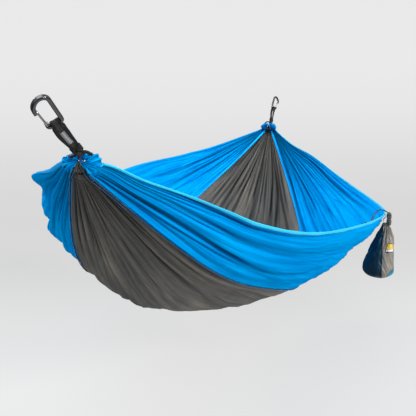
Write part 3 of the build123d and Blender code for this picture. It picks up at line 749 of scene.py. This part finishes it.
# end channels: each sewn channel bunched on its cord into a ruffle that closes round the webbing's foot
def bunch(neck, sgn, lo, hi, puckers, name, mat, seed):
    r = np.random.default_rng(seed)
    n, K = int(puckers * 16), 30
    T = np.linspace(lo, hi, n)
    t, th = np.meshgrid(T, np.linspace(0, 2 * np.pi, K, endpoint=False), indexing="ij")
    gaps = r.uniform(0.5, 1.5, int(puckers))
    stops = np.concatenate([[0], np.cumsum(gaps) / gaps.sum()])
    ph = np.interp((t - lo) / (hi - lo), stops, np.arange(len(stops)))
    idx, f = np.clip(np.floor(ph).astype(int), 0, len(gaps) - 1), ph - np.floor(ph)
    ridge = 1 - np.abs(2 * f - 1) ** 2.2
    size = r.uniform(0.55, 1.15, len(gaps))[idx]
    a = np.abs(t)
    rc = np.interp(a, [0, 40, 64, 88, 104, 122, 152], [9.5, 13.5, 20.5, 24.5, 22.0, 16.0, 9.0])
    rh = np.interp(a, [0, 40, 64, 88, 104, 122, 160, 171], [12.5, 13.0, 16.5, 17.0, 13.0, 10.5, 9.0, 6.5])
    xh = np.interp(a, [0, 40, 70, 92, 110, 132, 160, 171], [7.5, 8.5, 12.0, 14.0, 13.0, 10.0, 7.0, 3.5])
    x0 = np.interp(a, [0, 45, 80, 110, 140, 171], [6.0, 5.0, 1.0, -2.0, -7.0, -9.0])
    lean = 0.22 * r.uniform(-1, 1, len(gaps))[idx]
    swell = 0.88 + 0.18 * ridge * size
    rr = rc + rh * swell * np.cos(th) + 1.1 * np.interp(t, np.linspace(lo, hi, 9), r.uniform(-1, 1, 9))
    xx = x0 + xh * swell * np.sin(th) + 0.9 * np.sin(2 * th + 3 * ph)
    tw = np.radians(t) + lean * np.cos(th) * np.clip((171 - a) / 40, 0, 1) + 0.03 * np.sin(th + 5 * ph)
    up = np.interp(a, [50, 85, 110, 152], [0.0, -3.0, -3.0, -2.0])
    P = np.stack([neck[0] + sgn * xx, neck[1] - rr * np.sin(tw), neck[2] - rr * np.cos(tw) + up], -1)
    P += 0.45 * np.stack([value_noise(ph * 2.2 + k * 9, th * 2 + k, seed + k) for k in (1, 2, 3)], -1)
    faces = grid_faces(n, K, wrap_m=True).tolist()
    faces.append(list(range(K))[::-1])
    faces.append([(n - 1) * K + i for i in range(K)])
    cl = np.stack([np.radians(t) * 0.4, th * 0.012, 0 * t], -1)
    # painted shade between the puckers, passed on as the fold attribute
    ob = mesh_object(name, P.reshape(-1, 3), faces, "root", cl.reshape(-1, 3), shade=np.clip((1 - ridge) ** 2.5 * 1.1, 0, 1))
    bm = bmesh.new(); bm.from_mesh(ob.data); bmesh.ops.recalc_face_normals(bm, faces=bm.faces); bm.to_mesh(ob.data); bm.free()
    paint(ob, mat)
    return ob


ruffles = {"left": [], "centre": [], "right": []}
for tag, neck, sgn in (("near", A, -1), ("far", B, 1)):
    for key, lo, hi, k, slot, mat in (("left", -171.0, SEAM_L, 19, "bed_blue", BLUE), ("centre", SEAM_L, SEAM_R, 11, "bed_grey", GREY), ("right", SEAM_R, 171.0, 20, "bed_blue", BLUE)):
        ob = bunch(neck, sgn, lo, hi, k, f"{tag}_channel_bunch_{key}", mat, 30 + k + (7 if tag == "far" else 0))
        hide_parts(f"{tag}_end_channel")
        ruffles[key].append(ob)

for key, flat in (("left", (0.325, 2.66)), ("centre", (0.715, 2.66)), ("right", (0.405, 2.69))):
    extra = list(ruffles[key])
    if key != "centre":
        extra += [o for o in hems if o.name.startswith(key)]


# ------------------------------------------------------------------ suspensions
def frame_of(tilt, yaw, twist, sign):
    t, w = math.radians(tilt), math.radians(yaw)
    a = np.array([sign * math.cos(t) * math.cos(w), math.cos(t) * math.sin(w), math.sin(t)])
    flat = unit(np.cross([0, 0, 1], a) * -sign)
    th = math.radians(twist)
    b = flat * math.cos(th) + np.cross(a, flat) * math.sin(th) + a * np.dot(a, flat) * (1 - math.cos(th))
    return a, b, np.cross(a, b)


NEAR = frame_of(NEAR_TILT, 0.0, TWIST_NEAR, -1)
FAR = frame_of(FAR_TILT, FAR_YAW, TWIST_FAR, 1)


def catmull(pts, per=10):
    pts = np.asarray(pts, float)
    ext = np.vstack([2 * pts[0] - pts[1], pts, 2 * pts[-1] - pts[-2]])
    out = []
    for i in range(1, len(ext) - 2):
        p0, p1, p2, p3 = ext[i - 1:i + 3]
        for f in np.linspace(0, 1, per, endpoint=False):
            out.append(0.5 * (2 * p1 + (p2 - p0) * f + (2 * p0 - 5 * p1 + 4 * p2 - p3) * f ** 2 + (3 * p1 - p0 - 3 * p2 + p3) * f ** 3))
    out.append(ext[-2])
    return np.array(out)


LEAN = np.array([0.0, -1.0, 0.0])


def lean_of(a):
    """How far, in mm, the strap's foot sits to one side of the bunch."""
    f = np.clip((-a - 84.0) / 74.0, 0, 1)
    return 6.5 * f * f * (3 - 2 * f)


def webbing_loop(tag, hang, axes):
    a_, b_, c_ = axes
    half = [(-52.55, 0.0), (-54.2, 4.6), (-58.5, 7.3), (-63.5, 6.7), (-70.0, 4.3), (-77.5, 1.9), (-84.0, 1.25), (-110.0, 1.25), (-136.0, 1.3), (-146.0, 2.3), (-154.5, 4.2), (-160.0, 4.75), (-163.6, 3.1), (-164.8, 0.0)]
    loop_pts = half + [(x, -y) for x, y in half[-2:0:-1]]
    path = catmull(np.array(loop_pts + loop_pts[:1]), 9)[:-1]
    n = len(path)
    ext = np.vstack([path[-1:], path, path[:1]])
    t = unit(np.gradient(ext, axis=0)[1:-1])
    nrm = np.stack([-t[:, 1], t[:, 0]], -1)
    mid = path.mean(0)
    width = np.interp(-path[:, 0], [50, 66, 74, 95, 140, 150, 170], [8.9, 8.9, 12.4, 12.4, 8.8, 7.9, 7.9])
    M = 22
    s = np.linspace(-1, 1, M)
    thick = 0.85 + 0.35 * np.clip((np.abs(s) - 0.36) / 0.12, 0, 1) - 0.85 * np.clip((np.abs(s) - 0.86) / 0.14, 0, 1) ** 2
    thick = np.maximum(thick, 0.25)
    rings = []
    for side in (1, -1):
        w = width[:, None] * s[None]
        off = side * thick[None]
        ac = path[:, None, :] + nrm[:, None, :] * off[..., None]
        rings.append(np.stack([ac[..., 0], w, ac[..., 1]], -1))
    prof = np.concatenate([rings[0], rings[1][:, ::-1]], axis=1)
    world = hang + prof[..., :1] * a_ + prof[..., 1:2] * b_ + prof[..., 2:] * c_
    world = world + lean_of(prof[..., 0])[..., None] * LEAN
    k = prof.shape[1]
    f = grid_faces(n, k, wrap_n=True, wrap_m=True)
    length = np.concatenate([[0], np.cumsum(np.linalg.norm(np.diff(path, axis=0), axis=1))])
    cl = np.stack([prof[..., 1] / 1000, np.broadcast_to(length[:, None], prof.shape[:2]) / 1000, 0 * prof[..., 0]], -1)
    ob = mesh_object(f"{tag}_webbing_loop", world.reshape(-1, 3), f, f"{tag}_loop", cl.reshape(-1, 3))
    bm = bmesh.new(); bm.from_mesh(ob.data); bmesh.ops.recalc_face_normals(bm, faces=bm.faces); bm.to_mesh(ob.data); bm.free()
    paint(ob, WEB)
    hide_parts(f"{tag}_suspension_loop")
    # zigzag bar tack on both faces
    parts = []
    for side in (1, -1):
        zz = []
        steps = 34
        for i in range(steps + 1):
            aa = -84.5 - i * (36.0 / steps)
            zz.append((aa, 3.6 if i % 2 else -3.6, side * 2.45))
        zz = np.array(zz)
        fine = np.concatenate([np.linspace(p, q, 5, endpoint=False) for p, q in zip(zz, zz[1:])])
        arch = np.abs(np.sin(np.linspace(0, np.pi * steps, len(fine), endpoint=False)))
        fine[:, 2] += side * 0.25 * arch
        wp = hang + fine[:, :1] * a_ + fine[:, 1:2] * b_ + fine[:, 2:] * c_ + lean_of(fine[:, 0])[:, None] * LEAN
        parts.append(tube(wp, 0.42, 6, hint=c_))
        for edge in (-4.3, 4.3):
            row = np.stack([np.linspace(-84, -121, 40), np.full(40, edge), np.full(40, side * 2.3)], -1)
            wr = hang + row[:, :1] * a_ + row[:, 1:2] * b_ + row[:, 2:] * c_ + lean_of(row[:, 0])[:, None] * LEAN
            parts.append(stitch_mesh(wr, np.tile(c_ * side, (40, 1)), 3.0, 2.1, 0.35, 0.15))
    v, f = join_parts(parts)
    st = mesh_object(f"{tag}_loop_zigzag", v, f, f"{tag}_loop")
    paint(st, THREAD)
    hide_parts(f"{tag}_loop_stitching")
    # cord wrapped round the loop's foot
    turns, per = 5, 40
    k = np.arange(turns * per + 1)
    ang = 2 * np.pi * k / per
    aa = -134.0 - 3.05 * k / per
    hb = np.interp(-aa, [134, 150], [9.9, 9.6])
    hc = np.interp(-aa, [134, 150], [4.3, 5.6])
    sq = 0.72
    px = np.stack([aa, hb * np.sign(np.cos(ang)) * np.abs(np.cos(ang)) ** sq, hc * np.sign(np.sin(ang)) * np.abs(np.sin(ang)) ** sq], -1)
    w = hang + px[:, :1] * a_ + px[:, 1:2] * b_ + px[:, 2:] * c_ + lean_of(px[:, 0])[:, None] * LEAN
    parts = [tube(w, 1.5, 10, hint=a_)]
    knot = np.array([(-136, 4.5, 5.0), (-138.5, 6.5, 7.2), (-142.5, 5.0, 8.4), (-146.0, 1.2, 7.8), (-147.5, -3.0, 6.6), (-145, -6.0, 6.2), (-141, -5.5, 7.6), (-139.0, -1.5, 8.6), (-141.5, 2.5, 9.0), (-146, 5.0, 8.2), (-150, 7.0, 6.4)])
    kk = catmull(knot, 8)
    wk = hang + kk[:, :1] * a_ + kk[:, 1:2] * b_ + kk[:, 2:] * c_ + lean_of(kk[:, 0])[:, None] * LEAN
    parts.append(tube(wk, 1.45, 10, hint=a_))
    v, f = join_parts(parts)
    wr = mesh_object(f"{tag}_foot_wrap", v, f, f"{tag}_loop")
    paint(wr, CORD)
    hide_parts(f"{tag}_loop_keeper")


webbing_loop("near", np.zeros(3), NEAR)
webbing_loop("far", B + FAR[0] * HANG_TO_NECK, FAR)

RING_R, END_D = 26.0, 0.006


def end_cord(tag, hang, axes, neck):
    """The rope through the end channel: from the loop's eye, round the U inside the channel and back to the eye."""
    b = axes[1] if axes[1][1] > 0 else -axes[1]
    eye = hang + axes[0] * EYE_CORD
    lift = np.array([0, 0, 8.0])
    left, right = neck + [0, RING_R, 0], neck - [0, RING_R, 0]
    arc = [neck + np.array([0, math.cos(t), -math.sin(t)]) * RING_R / math.cos(math.pi / 16) for t in np.linspace(0, np.pi, 9)[:-1] + np.pi / 16]
    pts = [eye + b * 0.15, eye + b * 14, left + lift, left, *arc, right, right + lift, eye - b * 14, eye - b * 0.15]
    cu = bpy.data.curves.new(f"{tag}_end_rope", "CURVE")
    cu.dimensions = "3D"
    cu.resolution_u = 10
    sp = cu.splines.new("NURBS")
    sp.points.add(len(pts) - 1)
    for p, co in zip(sp.points, pts):
        p.co = (*(float(x) / 1000 for x in co), 1)
        p.radius = END_D / 2
    sp.order_u = 3
    sp.use_endpoint_u = True
    cu.bevel_depth = 1.0
    cu.bevel_resolution = 4
    cu.use_fill_caps = True
    ob = bpy.data.objects.new(f"{tag}_end_rope", cu)
    bpy.context.scene.collection.objects.link(ob)
    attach(ob, "root")
    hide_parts(f"{tag}_end_cord")
    ob.data.materials.append(CORD)
    return ob


for tag, hang, axes, neck in (("near", np.zeros(3), NEAR, A), ("far", B + FAR[0] * HANG_TO_NECK, FAR, B)):
    end_cord(tag, hang, axes, neck)
for tag in ("near", "far"):
    paint(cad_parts[f"{tag}_carabiner_body"], ALLOY)
    paint(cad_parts[f"{tag}_carabiner_gate"], STEEL)
for node, mat in (("drawcord_end_knot", CORD), ("cord_lock_barrel", PLASTIC), ("cord_lock_plunger", PLASTIC), ("cord_lock_spring", STEEL), ("sack_tether", TAPE), ("sack_hanging_loop", TAPE)):
    paint(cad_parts[node], mat)

# ------------------------------------------------------------------ stuff sack
SACK_X = A[0] + 0.5 * SPAN
SACK_ROWS = np.array([(-400.5, -585.0, 8.5, 9.5), (-408.0, -585.5, 12.0, 12.5), (-418.4, -586.5, 18.5, 17.0), (-439.9, -584.0, 27.5, 26.0),
                      (-461.6, -580.5, 35.0, 32.0), (-490.4, -573.5, 40.5, 37.0), (-515.8, -568.5, 46.0, 41.0), (-541.4, -565.0, 51.5, 44.0),
                      (-562.7, -565.8, 51.5, 44.0), (-576.5, -568.8, 45.5, 39.0), (-586.3, -571.0, 33.0, 28.0), (-591.5, -573.5, 17.0, 14.0), (-592.5, -574.0, 0.6, 0.6)])


def sack_surface(grow=0.0):
    rows = catmull(SACK_ROWS, 12)
    n, K = len(rows), 220
    TH = np.linspace(0, 2 * np.pi, K, endpoint=False)
    i, th = np.meshgrid(np.arange(n), TH, indexing="ij")
    z, y0, hy, hx = (rows[:, k][:, None] + 0 * th for k in range(4))
    f = (-400.5 - z) / 192.0
    drop = np.interp(th + 0.35 * np.sin(f * 5), np.linspace(0, 2 * np.pi, 15), np.append(rng.uniform(0.2, 1.0, 14), 0.6))
    folds = -((1 - np.cos(13 * th + 1.2 * np.sin(2 * th) + 1.6 * f)) / 2) ** 1.4 * np.exp(-(f / (0.20 + 0.35 * drop)) ** 1.6) * 7.0 * np.minimum(1, hy / 20)
    broad = 3.2 * np.sin(3 * th + 2.0 + 2.2 * f) * np.sin(np.pi * np.clip(f, 0, 1)) + 2.4 * np.sin(5 * th - 1.0 - 5 * f) * np.clip(f, 0, 1) * np.clip((1.02 - f) / 0.15, 0, 1)
    crease = 2.4 * value_noise(np.cos(th) * 3 + f * 7 + 20, np.sin(th) * 3 + f * 4 + 20, 50) + 1.3 * value_noise(np.cos(th) * 8 + f * 9 + 30, np.sin(th) * 8 - f * 12 + 30, 51)
    crease = crease * np.clip((1.0 - f) / 0.06, 0, 1) * np.minimum(1, hy / 25)
    d = folds + broad * np.minimum(1, hy / 30) + crease + grow
    x = SACK_X - (hx + d) * np.cos(th)
    y = y0 - (hy + d) * np.sin(th)
    P = np.stack([x, y, z + 0.8 * crease * 0.3], -1)
    cl = np.stack([th * 0.045, (-z / 1000), 0 * th], -1)
    return P, cl


SP, SCL = sack_surface()
sn, sk = SP.shape[:2]
sack_v, sack_f = SP.reshape(-1, 3), grid_faces(sn, sk, wrap_m=True, flip=True).tolist()
sack_f.append([(sn - 1) * sk + i for i in range(sk)])
sack_f = [q for q in sack_f]
BASE_P, BASE_N = Vector((SACK_X / 1000, -0.601, -0.574)), Vector((0, -35, -29)).normalized()
SPLIT_P, SPLIT_N = Vector((0, -0.578, 0)), Vector((0, 1, 0))


def sack_piece(name, node, mat, cuts, thick=0.0011):
    ob = mesh_object(name, sack_v, sack_f, "sack", SCL.reshape(-1, 3))
    bm = bmesh.new()
    bm.from_mesh(ob.data)
    for co, no, outer in cuts:
        geom = list(bm.verts) + list(bm.edges) + list(bm.faces)
        bmesh.ops.bisect_plane(bm, geom=geom, dist=1e-6, plane_co=co, plane_no=no, clear_outer=outer, clear_inner=not outer)
    bmesh.ops.recalc_face_normals(bm, faces=bm.faces)
    bm.to_mesh(ob.data)
    bm.free()
    sol = ob.modifiers.new("thickness", "SOLIDIFY")
    sol.thickness, sol.offset = thick, -1.0
    paint(ob, mat)
    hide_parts(node)
    return ob


sack_piece("sack_outer_cloth", "sack_outer_panel", SACK_GREY, [(BASE_P, BASE_N, True), (SPLIT_P, SPLIT_N, True)])
# the inner half is painted the shaded navy, standing for the sack's blue in shadow
sack_piece("sack_inner_cloth", "sack_inner_panel", SACK_SHADED_BLUE, [(BASE_P, BASE_N, True), (SPLIT_P, SPLIT_N, False)])
sack_piece("sack_base_cloth", "sack_base", SACK_BLUE, [(BASE_P, BASE_N, False)])


def crossing(P, co, no):
    """Where the sack's meridians cross a plane, ordered round it."""
    co, no = np.array(co) * 1000, np.array(no)
    d = (P - co) @ no
    pts = []
    for j in range(P.shape[1]):
        for i in range(P.shape[0] - 1):
            if d[i, j] * d[i + 1, j] < 0:
                w = d[i, j] / (d[i, j] - d[i + 1, j])
                pts.append(P[i, j] * (1 - w) + P[i + 1, j] * w)
                break
    return np.array(pts)


# piping where the base is sewn on, and the side seams
base_pts = crossing(SP, BASE_P, BASE_N)
if len(base_pts) > 20:
    cen = base_pts.mean(0)
    e1 = unit(np.cross(np.array(BASE_N), [1, 0, 0])); e2 = np.cross(np.array(BASE_N), e1)
    order = np.argsort(np.arctan2((base_pts - cen) @ e2, (base_pts - cen) @ e1))
    ring = base_pts[order][::2]
    gap = np.linalg.norm(np.roll(ring, -1, 0) - ring, axis=1)
    ring = np.roll(ring, -1 - int(gap.argmax()), 0)
    v, f = tube(ring, 0.9, 8, hint=np.array(BASE_N), closed=gap.max() < 12)
    ob = mesh_object("sack_base_piping", v, f, "sack")
    paint(ob, SACK_SHADED_BLUE)
seam_parts = []
for x_side in (-1, 1):
    line = []
    for i in range(2, sn - 2):
        row = SP[i]
        dy = row[:, 1] + 578.0
        for j in range(sk):
            j2 = (j + 1) % sk
            if dy[j] * dy[j2] < 0 and (row[j, 0] - SACK_X) * x_side > 0:
                w = dy[j] / (dy[j] - dy[j2])
                line.append(row[j] * (1 - w) + row[j2] * w)
                break
    line = np.array(line)
    keep = ((line / 1000 - np.array(BASE_P)) @ np.array(BASE_N)) < 0
    line = line[keep]
    if len(line) > 8:
        seam_parts.append(tube(line + np.array([x_side * 0.3, 0, 0]), 1.1, 8, hint=(0, 1, 0)))
        nr = np.tile([float(x_side), -0.2, 0], (len(line), 1))
        seam_parts.append(stitch_mesh(line + np.array([x_side * 0.9, -3.4, 0]), unit(nr), 3.2, 2.3, 0.3, 0.1))
v, f = join_parts(seam_parts)
ob = mesh_object("sack_side_seams", v, f, "sack")
paint(ob, SACK_SHADED_BLUE)


# ruffled mouth of the sack, facing outwards
def mouth():
    n, K = 26 * 14, 26
    T = np.linspace(0, 2 * np.pi, n, endpoint=False)
    TH = np.linspace(0, 2 * np.pi, K, endpoint=False)
    t, th = np.meshgrid(T, TH, indexing="ij")
    ph = 24 * t + 0.9 * np.sin(3 * t) + 0.5 * np.sin(7 * t)
    ridge = np.cos(ph)
    rr = 12.5 + (7.6 + 1.9 * ridge) * np.cos(th) + 1.0 * np.sin(2 * t + 1)
    yy = (6.6 + 1.6 * ridge) * np.sin(th) + 1.6 * np.sin(ph * 0.5) * np.cos(th)
    tt_ = t + 0.04 * np.sin(ph) * np.cos(th)
    P = np.stack([SACK_X + rr * np.cos(tt_), -597.0 + yy, -386.0 + 1.12 * rr * np.sin(tt_)], -1)
    f = grid_faces(n, K, wrap_n=True, wrap_m=True)
    cl = np.stack([t * 0.02, th * 0.006, 0 * t], -1)
    ob = mesh_object("sack_mouth_ruffle", P.reshape(-1, 3), f, "sack", cl.reshape(-1, 3))
    bm = bmesh.new(); bm.from_mesh(ob.data); bmesh.ops.recalc_face_normals(bm, faces=bm.faces); bm.to_mesh(ob.data); bm.free()
    paint(ob, SACK_MOUTH)
    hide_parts("sack_mouth_channel")
    return ob


mouth()


# label patch that follows the cloth
def label_patch(name, z0, z1, th0, th1, grow, mat):
    rows, cols = 20, 18
    fz = np.array([r[0] for r in SP[:, 0, 2:3]])
    th_all = np.linspace(0, 2 * np.pi, sk, endpoint=False)
    zz = np.linspace(z0, z1, rows)
    hh = np.linspace(th0, th1, cols)
    Pz = np.interp(-zz, -SP[:, :, 2].mean(1), np.arange(sn))
    out = []
    for q in Pz:
        i0 = int(q); w = q - i0
        ring = SP[i0] * (1 - w) + SP[min(i0 + 1, sn - 1)] * w
        j = (hh % (2 * np.pi)) / (2 * np.pi) * sk
        j0 = np.floor(j).astype(int) % sk
        wj = (j - np.floor(j))[:, None]
        out.append(ring[j0] * (1 - wj) + ring[(j0 + 1) % sk] * wj)
    P = np.array(out)
    N = surface_normal(P)
    c = np.array([SACK_X, -575.0, P[..., 2].mean()])
    s = np.sign(((P - c) * N).sum(-1).mean())
    top, low = P + N * s * (grow + 0.7), P + N * s * grow
    v = np.concatenate([top.reshape(-1, 3), low.reshape(-1, 3)])
    f = grid_faces(rows, cols).tolist() + grid_faces(rows, cols, base=rows * cols, flip=True).tolist()
    o = rows * cols
    for row, rev in (([i * cols for i in range(rows)], True), ([i * cols + cols - 1 for i in range(rows)], False), (list(range(cols)), False), ([(rows - 1) * cols + j for j in range(cols)], True)):
        for a, b in zip(row, row[1:]):
            q = [a, b, b + o, a + o]
            f.append(q[::-1] if rev else q)
    gy, gx = np.meshgrid(np.linspace(0, 0.026, rows), np.linspace(0, 0.02, cols), indexing="ij")
    cl = np.stack([gx, gy, 0 * gx], -1).reshape(-1, 3)
    ob = mesh_object(name, v, f, "sack", np.concatenate([cl, cl]))
    bm = bmesh.new(); bm.from_mesh(ob.data); bmesh.ops.recalc_face_normals(bm, faces=bm.faces); bm.to_mesh(ob.data); bm.free()
    paint(ob, mat)
    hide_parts("sack_label")
    return ob, top, N * s


T0 = math.radians(28)
ob, top, nn = label_patch("sack_label_border", -467.0, -497.0, T0, T0 + 0.68, 0.4, SACK_SHADED_BLUE)
label_patch("sack_label_field", -469.0, -486.5, T0 + 0.05, T0 + 0.63, 1.0, LABEL)
label_patch("sack_label_band", -487.2, -495.0, T0 + 0.05, T0 + 0.63, 1.0, LABEL_WHITE)

# ------------------------------------------------------------------ stage
def stage():
    # floor, cove and wall in one sweep, square to the view
    yaw = math.radians(13.74)
    look, side = np.array([math.cos(yaw), math.sin(yaw), 0]), np.array([math.sin(yaw), -math.cos(yaw), 0])
    eye = np.array([-1.020, -0.532, 0])
    z0, start, rad = -0.93, 4.6, 2.6
    prof = [(-6.0, z0), (start, z0)]
    prof += [(start + rad * math.sin(a), z0 + rad * (1 - math.cos(a))) for a in np.linspace(0, math.pi / 2, 25)[1:]]
    prof += [(start + rad, 9.0)]
    v, cols = [], (-14.0, 14.0)
    for d, z in prof:
        for w in cols:
            p = eye + look * d + side * w
            v.append((float(p[0]), float(p[1]), float(z)))
    f = [(2 * i, 2 * i + 1, 2 * i + 3, 2 * i + 2) for i in range(len(prof) - 1)]
    me = bpy.data.meshes.new("backdrop")
    me.from_pydata(v, [], f)
    me.polygons.foreach_set("use_smooth", [True] * len(me.polygons))
    at = me.attributes.new("sweep", "FLOAT", "POINT")
    lengths = np.concatenate([[0], np.cumsum(np.hypot(*np.diff(np.array(prof), axis=0).T))]) - 6.0
    at.data.foreach_set("value", np.repeat(lengths, 2).astype(np.float32))
    ob = bpy.data.objects.new("backdrop", me)
    bpy.context.scene.collection.objects.link(ob)
    m, nt, bs = nodes_of("backdrop_pale")
    a = nt.nodes.new("ShaderNodeAttribute")
    a.attribute_name = "sweep"
    mr = nt.nodes.new("ShaderNodeMapRange")
    mr.inputs["From Min"].default_value, mr.inputs["From Max"].default_value = 0.0, 10.0
    nt.links.new(a.outputs["Fac"], mr.inputs["Value"])
    # painted light: the backdrop glows with this grey ramp, dimmer from the far floor into the foot of the cove where
    # the light falls off
    g = ramp(nt, mr.outputs[0], BACK)
    dim = nt.nodes.new("ShaderNodeMix")
    dim.data_type, dim.blend_type = "RGBA", "MULTIPLY"
    dim.inputs["Factor"].default_value = 1.0
    nt.links.new(g, dim.inputs["A"])
    dim.inputs["B"].default_value = (0.13, 0.13, 0.13, 1)
    nt.links.new(dim.outputs["Result"], bs.inputs["Base Color"])
    nt.links.new(g, bs.inputs["Emission Color"])
    bs.inputs["Emission Strength"].default_value = 0.785
    bs.inputs["Roughness"].default_value = 1.0
    bs.inputs["Specular IOR Level"].default_value = 0.0
    # seen only from its lit side, so that it doesn't hide the hammock from behind
    geo, clear, mix = (nt.nodes.new(t) for t in ("ShaderNodeNewGeometry", "ShaderNodeBsdfTransparent", "ShaderNodeMixShader"))
    nt.links.new(geo.outputs["Backfacing"], mix.inputs[0])
    nt.links.new(bs.outputs[0], mix.inputs[1])
    nt.links.new(clear.outputs[0], mix.inputs[2])
    nt.links.new(mix.outputs[0], next(n for n in nt.nodes if n.type == "OUTPUT_MATERIAL").inputs["Surface"])
    me.materials.append(m)
    ob.visible_glossy = False
    ob.visible_shadow = False
    w = bpy.data.worlds.new("studio")
    bpy.context.scene.world = w
    w.use_nodes = True
    wt = w.node_tree
    bg = wt.nodes["Background"]
    tc = wt.nodes.new("ShaderNodeTexCoord")
    sep = wt.nodes.new("ShaderNodeSeparateXYZ")
    wt.links.new(tc.outputs["Generated"], sep.inputs[0])
    up = wt.nodes.new("ShaderNodeMapRange")
    up.inputs["From Min"].default_value = -1.0
    wt.links.new(sep.outputs["Z"], up.inputs["Value"])
    sky = ramp(wt, up.outputs[0], [(0.0, (0.10, 0.11, 0.12)), (0.42, (0.16, 0.17, 0.18)), (0.56, (0.30, 0.32, 0.34)), (0.74, (0.95, 0.97, 1.0)), (1.0, (1.0, 1.0, 1.0))])
    wt.links.new(sky, bg.inputs[0])
    bg.inputs[1].default_value = 0.6

    def sun(name, towards, strength, angle, color=(1, 1, 1)):
        l = bpy.data.lights.new(name, "SUN")
        l.energy, l.angle, l.color = strength, math.radians(angle), color
        o = bpy.data.objects.new(name, l)
        bpy.context.scene.collection.objects.link(o)
        o.rotation_mode = "QUATERNION"
        o.rotation_quaternion = Vector(towards).to_track_quat("-Z", "Y")

    sun("key", (0.22, 1.0, -0.45), 3.3, 14, (1.0, 0.985, 0.96))
    sun("top", (0.25, -0.25, -1.0), 1.5, 50, (0.98, 0.99, 1.0))
    sun("fill", (0.85, -0.45, -0.10), 0.45, 45, (0.95, 0.98, 1.0))
    sun("bounce", (-0.45, 0.40, 1.0), 0.50, 60, (1.0, 0.96, 0.90))
    sun("back", (-0.25, -1.0, -0.60), 1.1, 8, (0.98, 1.0, 1.0))


# painted light: glow grey by metres along the sweep, dipping on the far floor and the foot of the cove
BACK = [(x / 10, (v, v, v)) for x, v in ((0.0, 0.856), (2.1, 0.856), (2.5, 0.832), (2.83, 0.806), (3.13, 0.775), (3.51, 0.737), (3.99, 0.705), (4.60, 0.688),
                                         (5.13, 0.680), (5.51, 0.687), (6.0, 0.716), (6.42, 0.762), (6.82, 0.808), (7.42, 0.846), (8.1, 0.856), (10.0, 0.856))]
stage()
bpy.context.scene.view_settings.view_transform = "Standard"
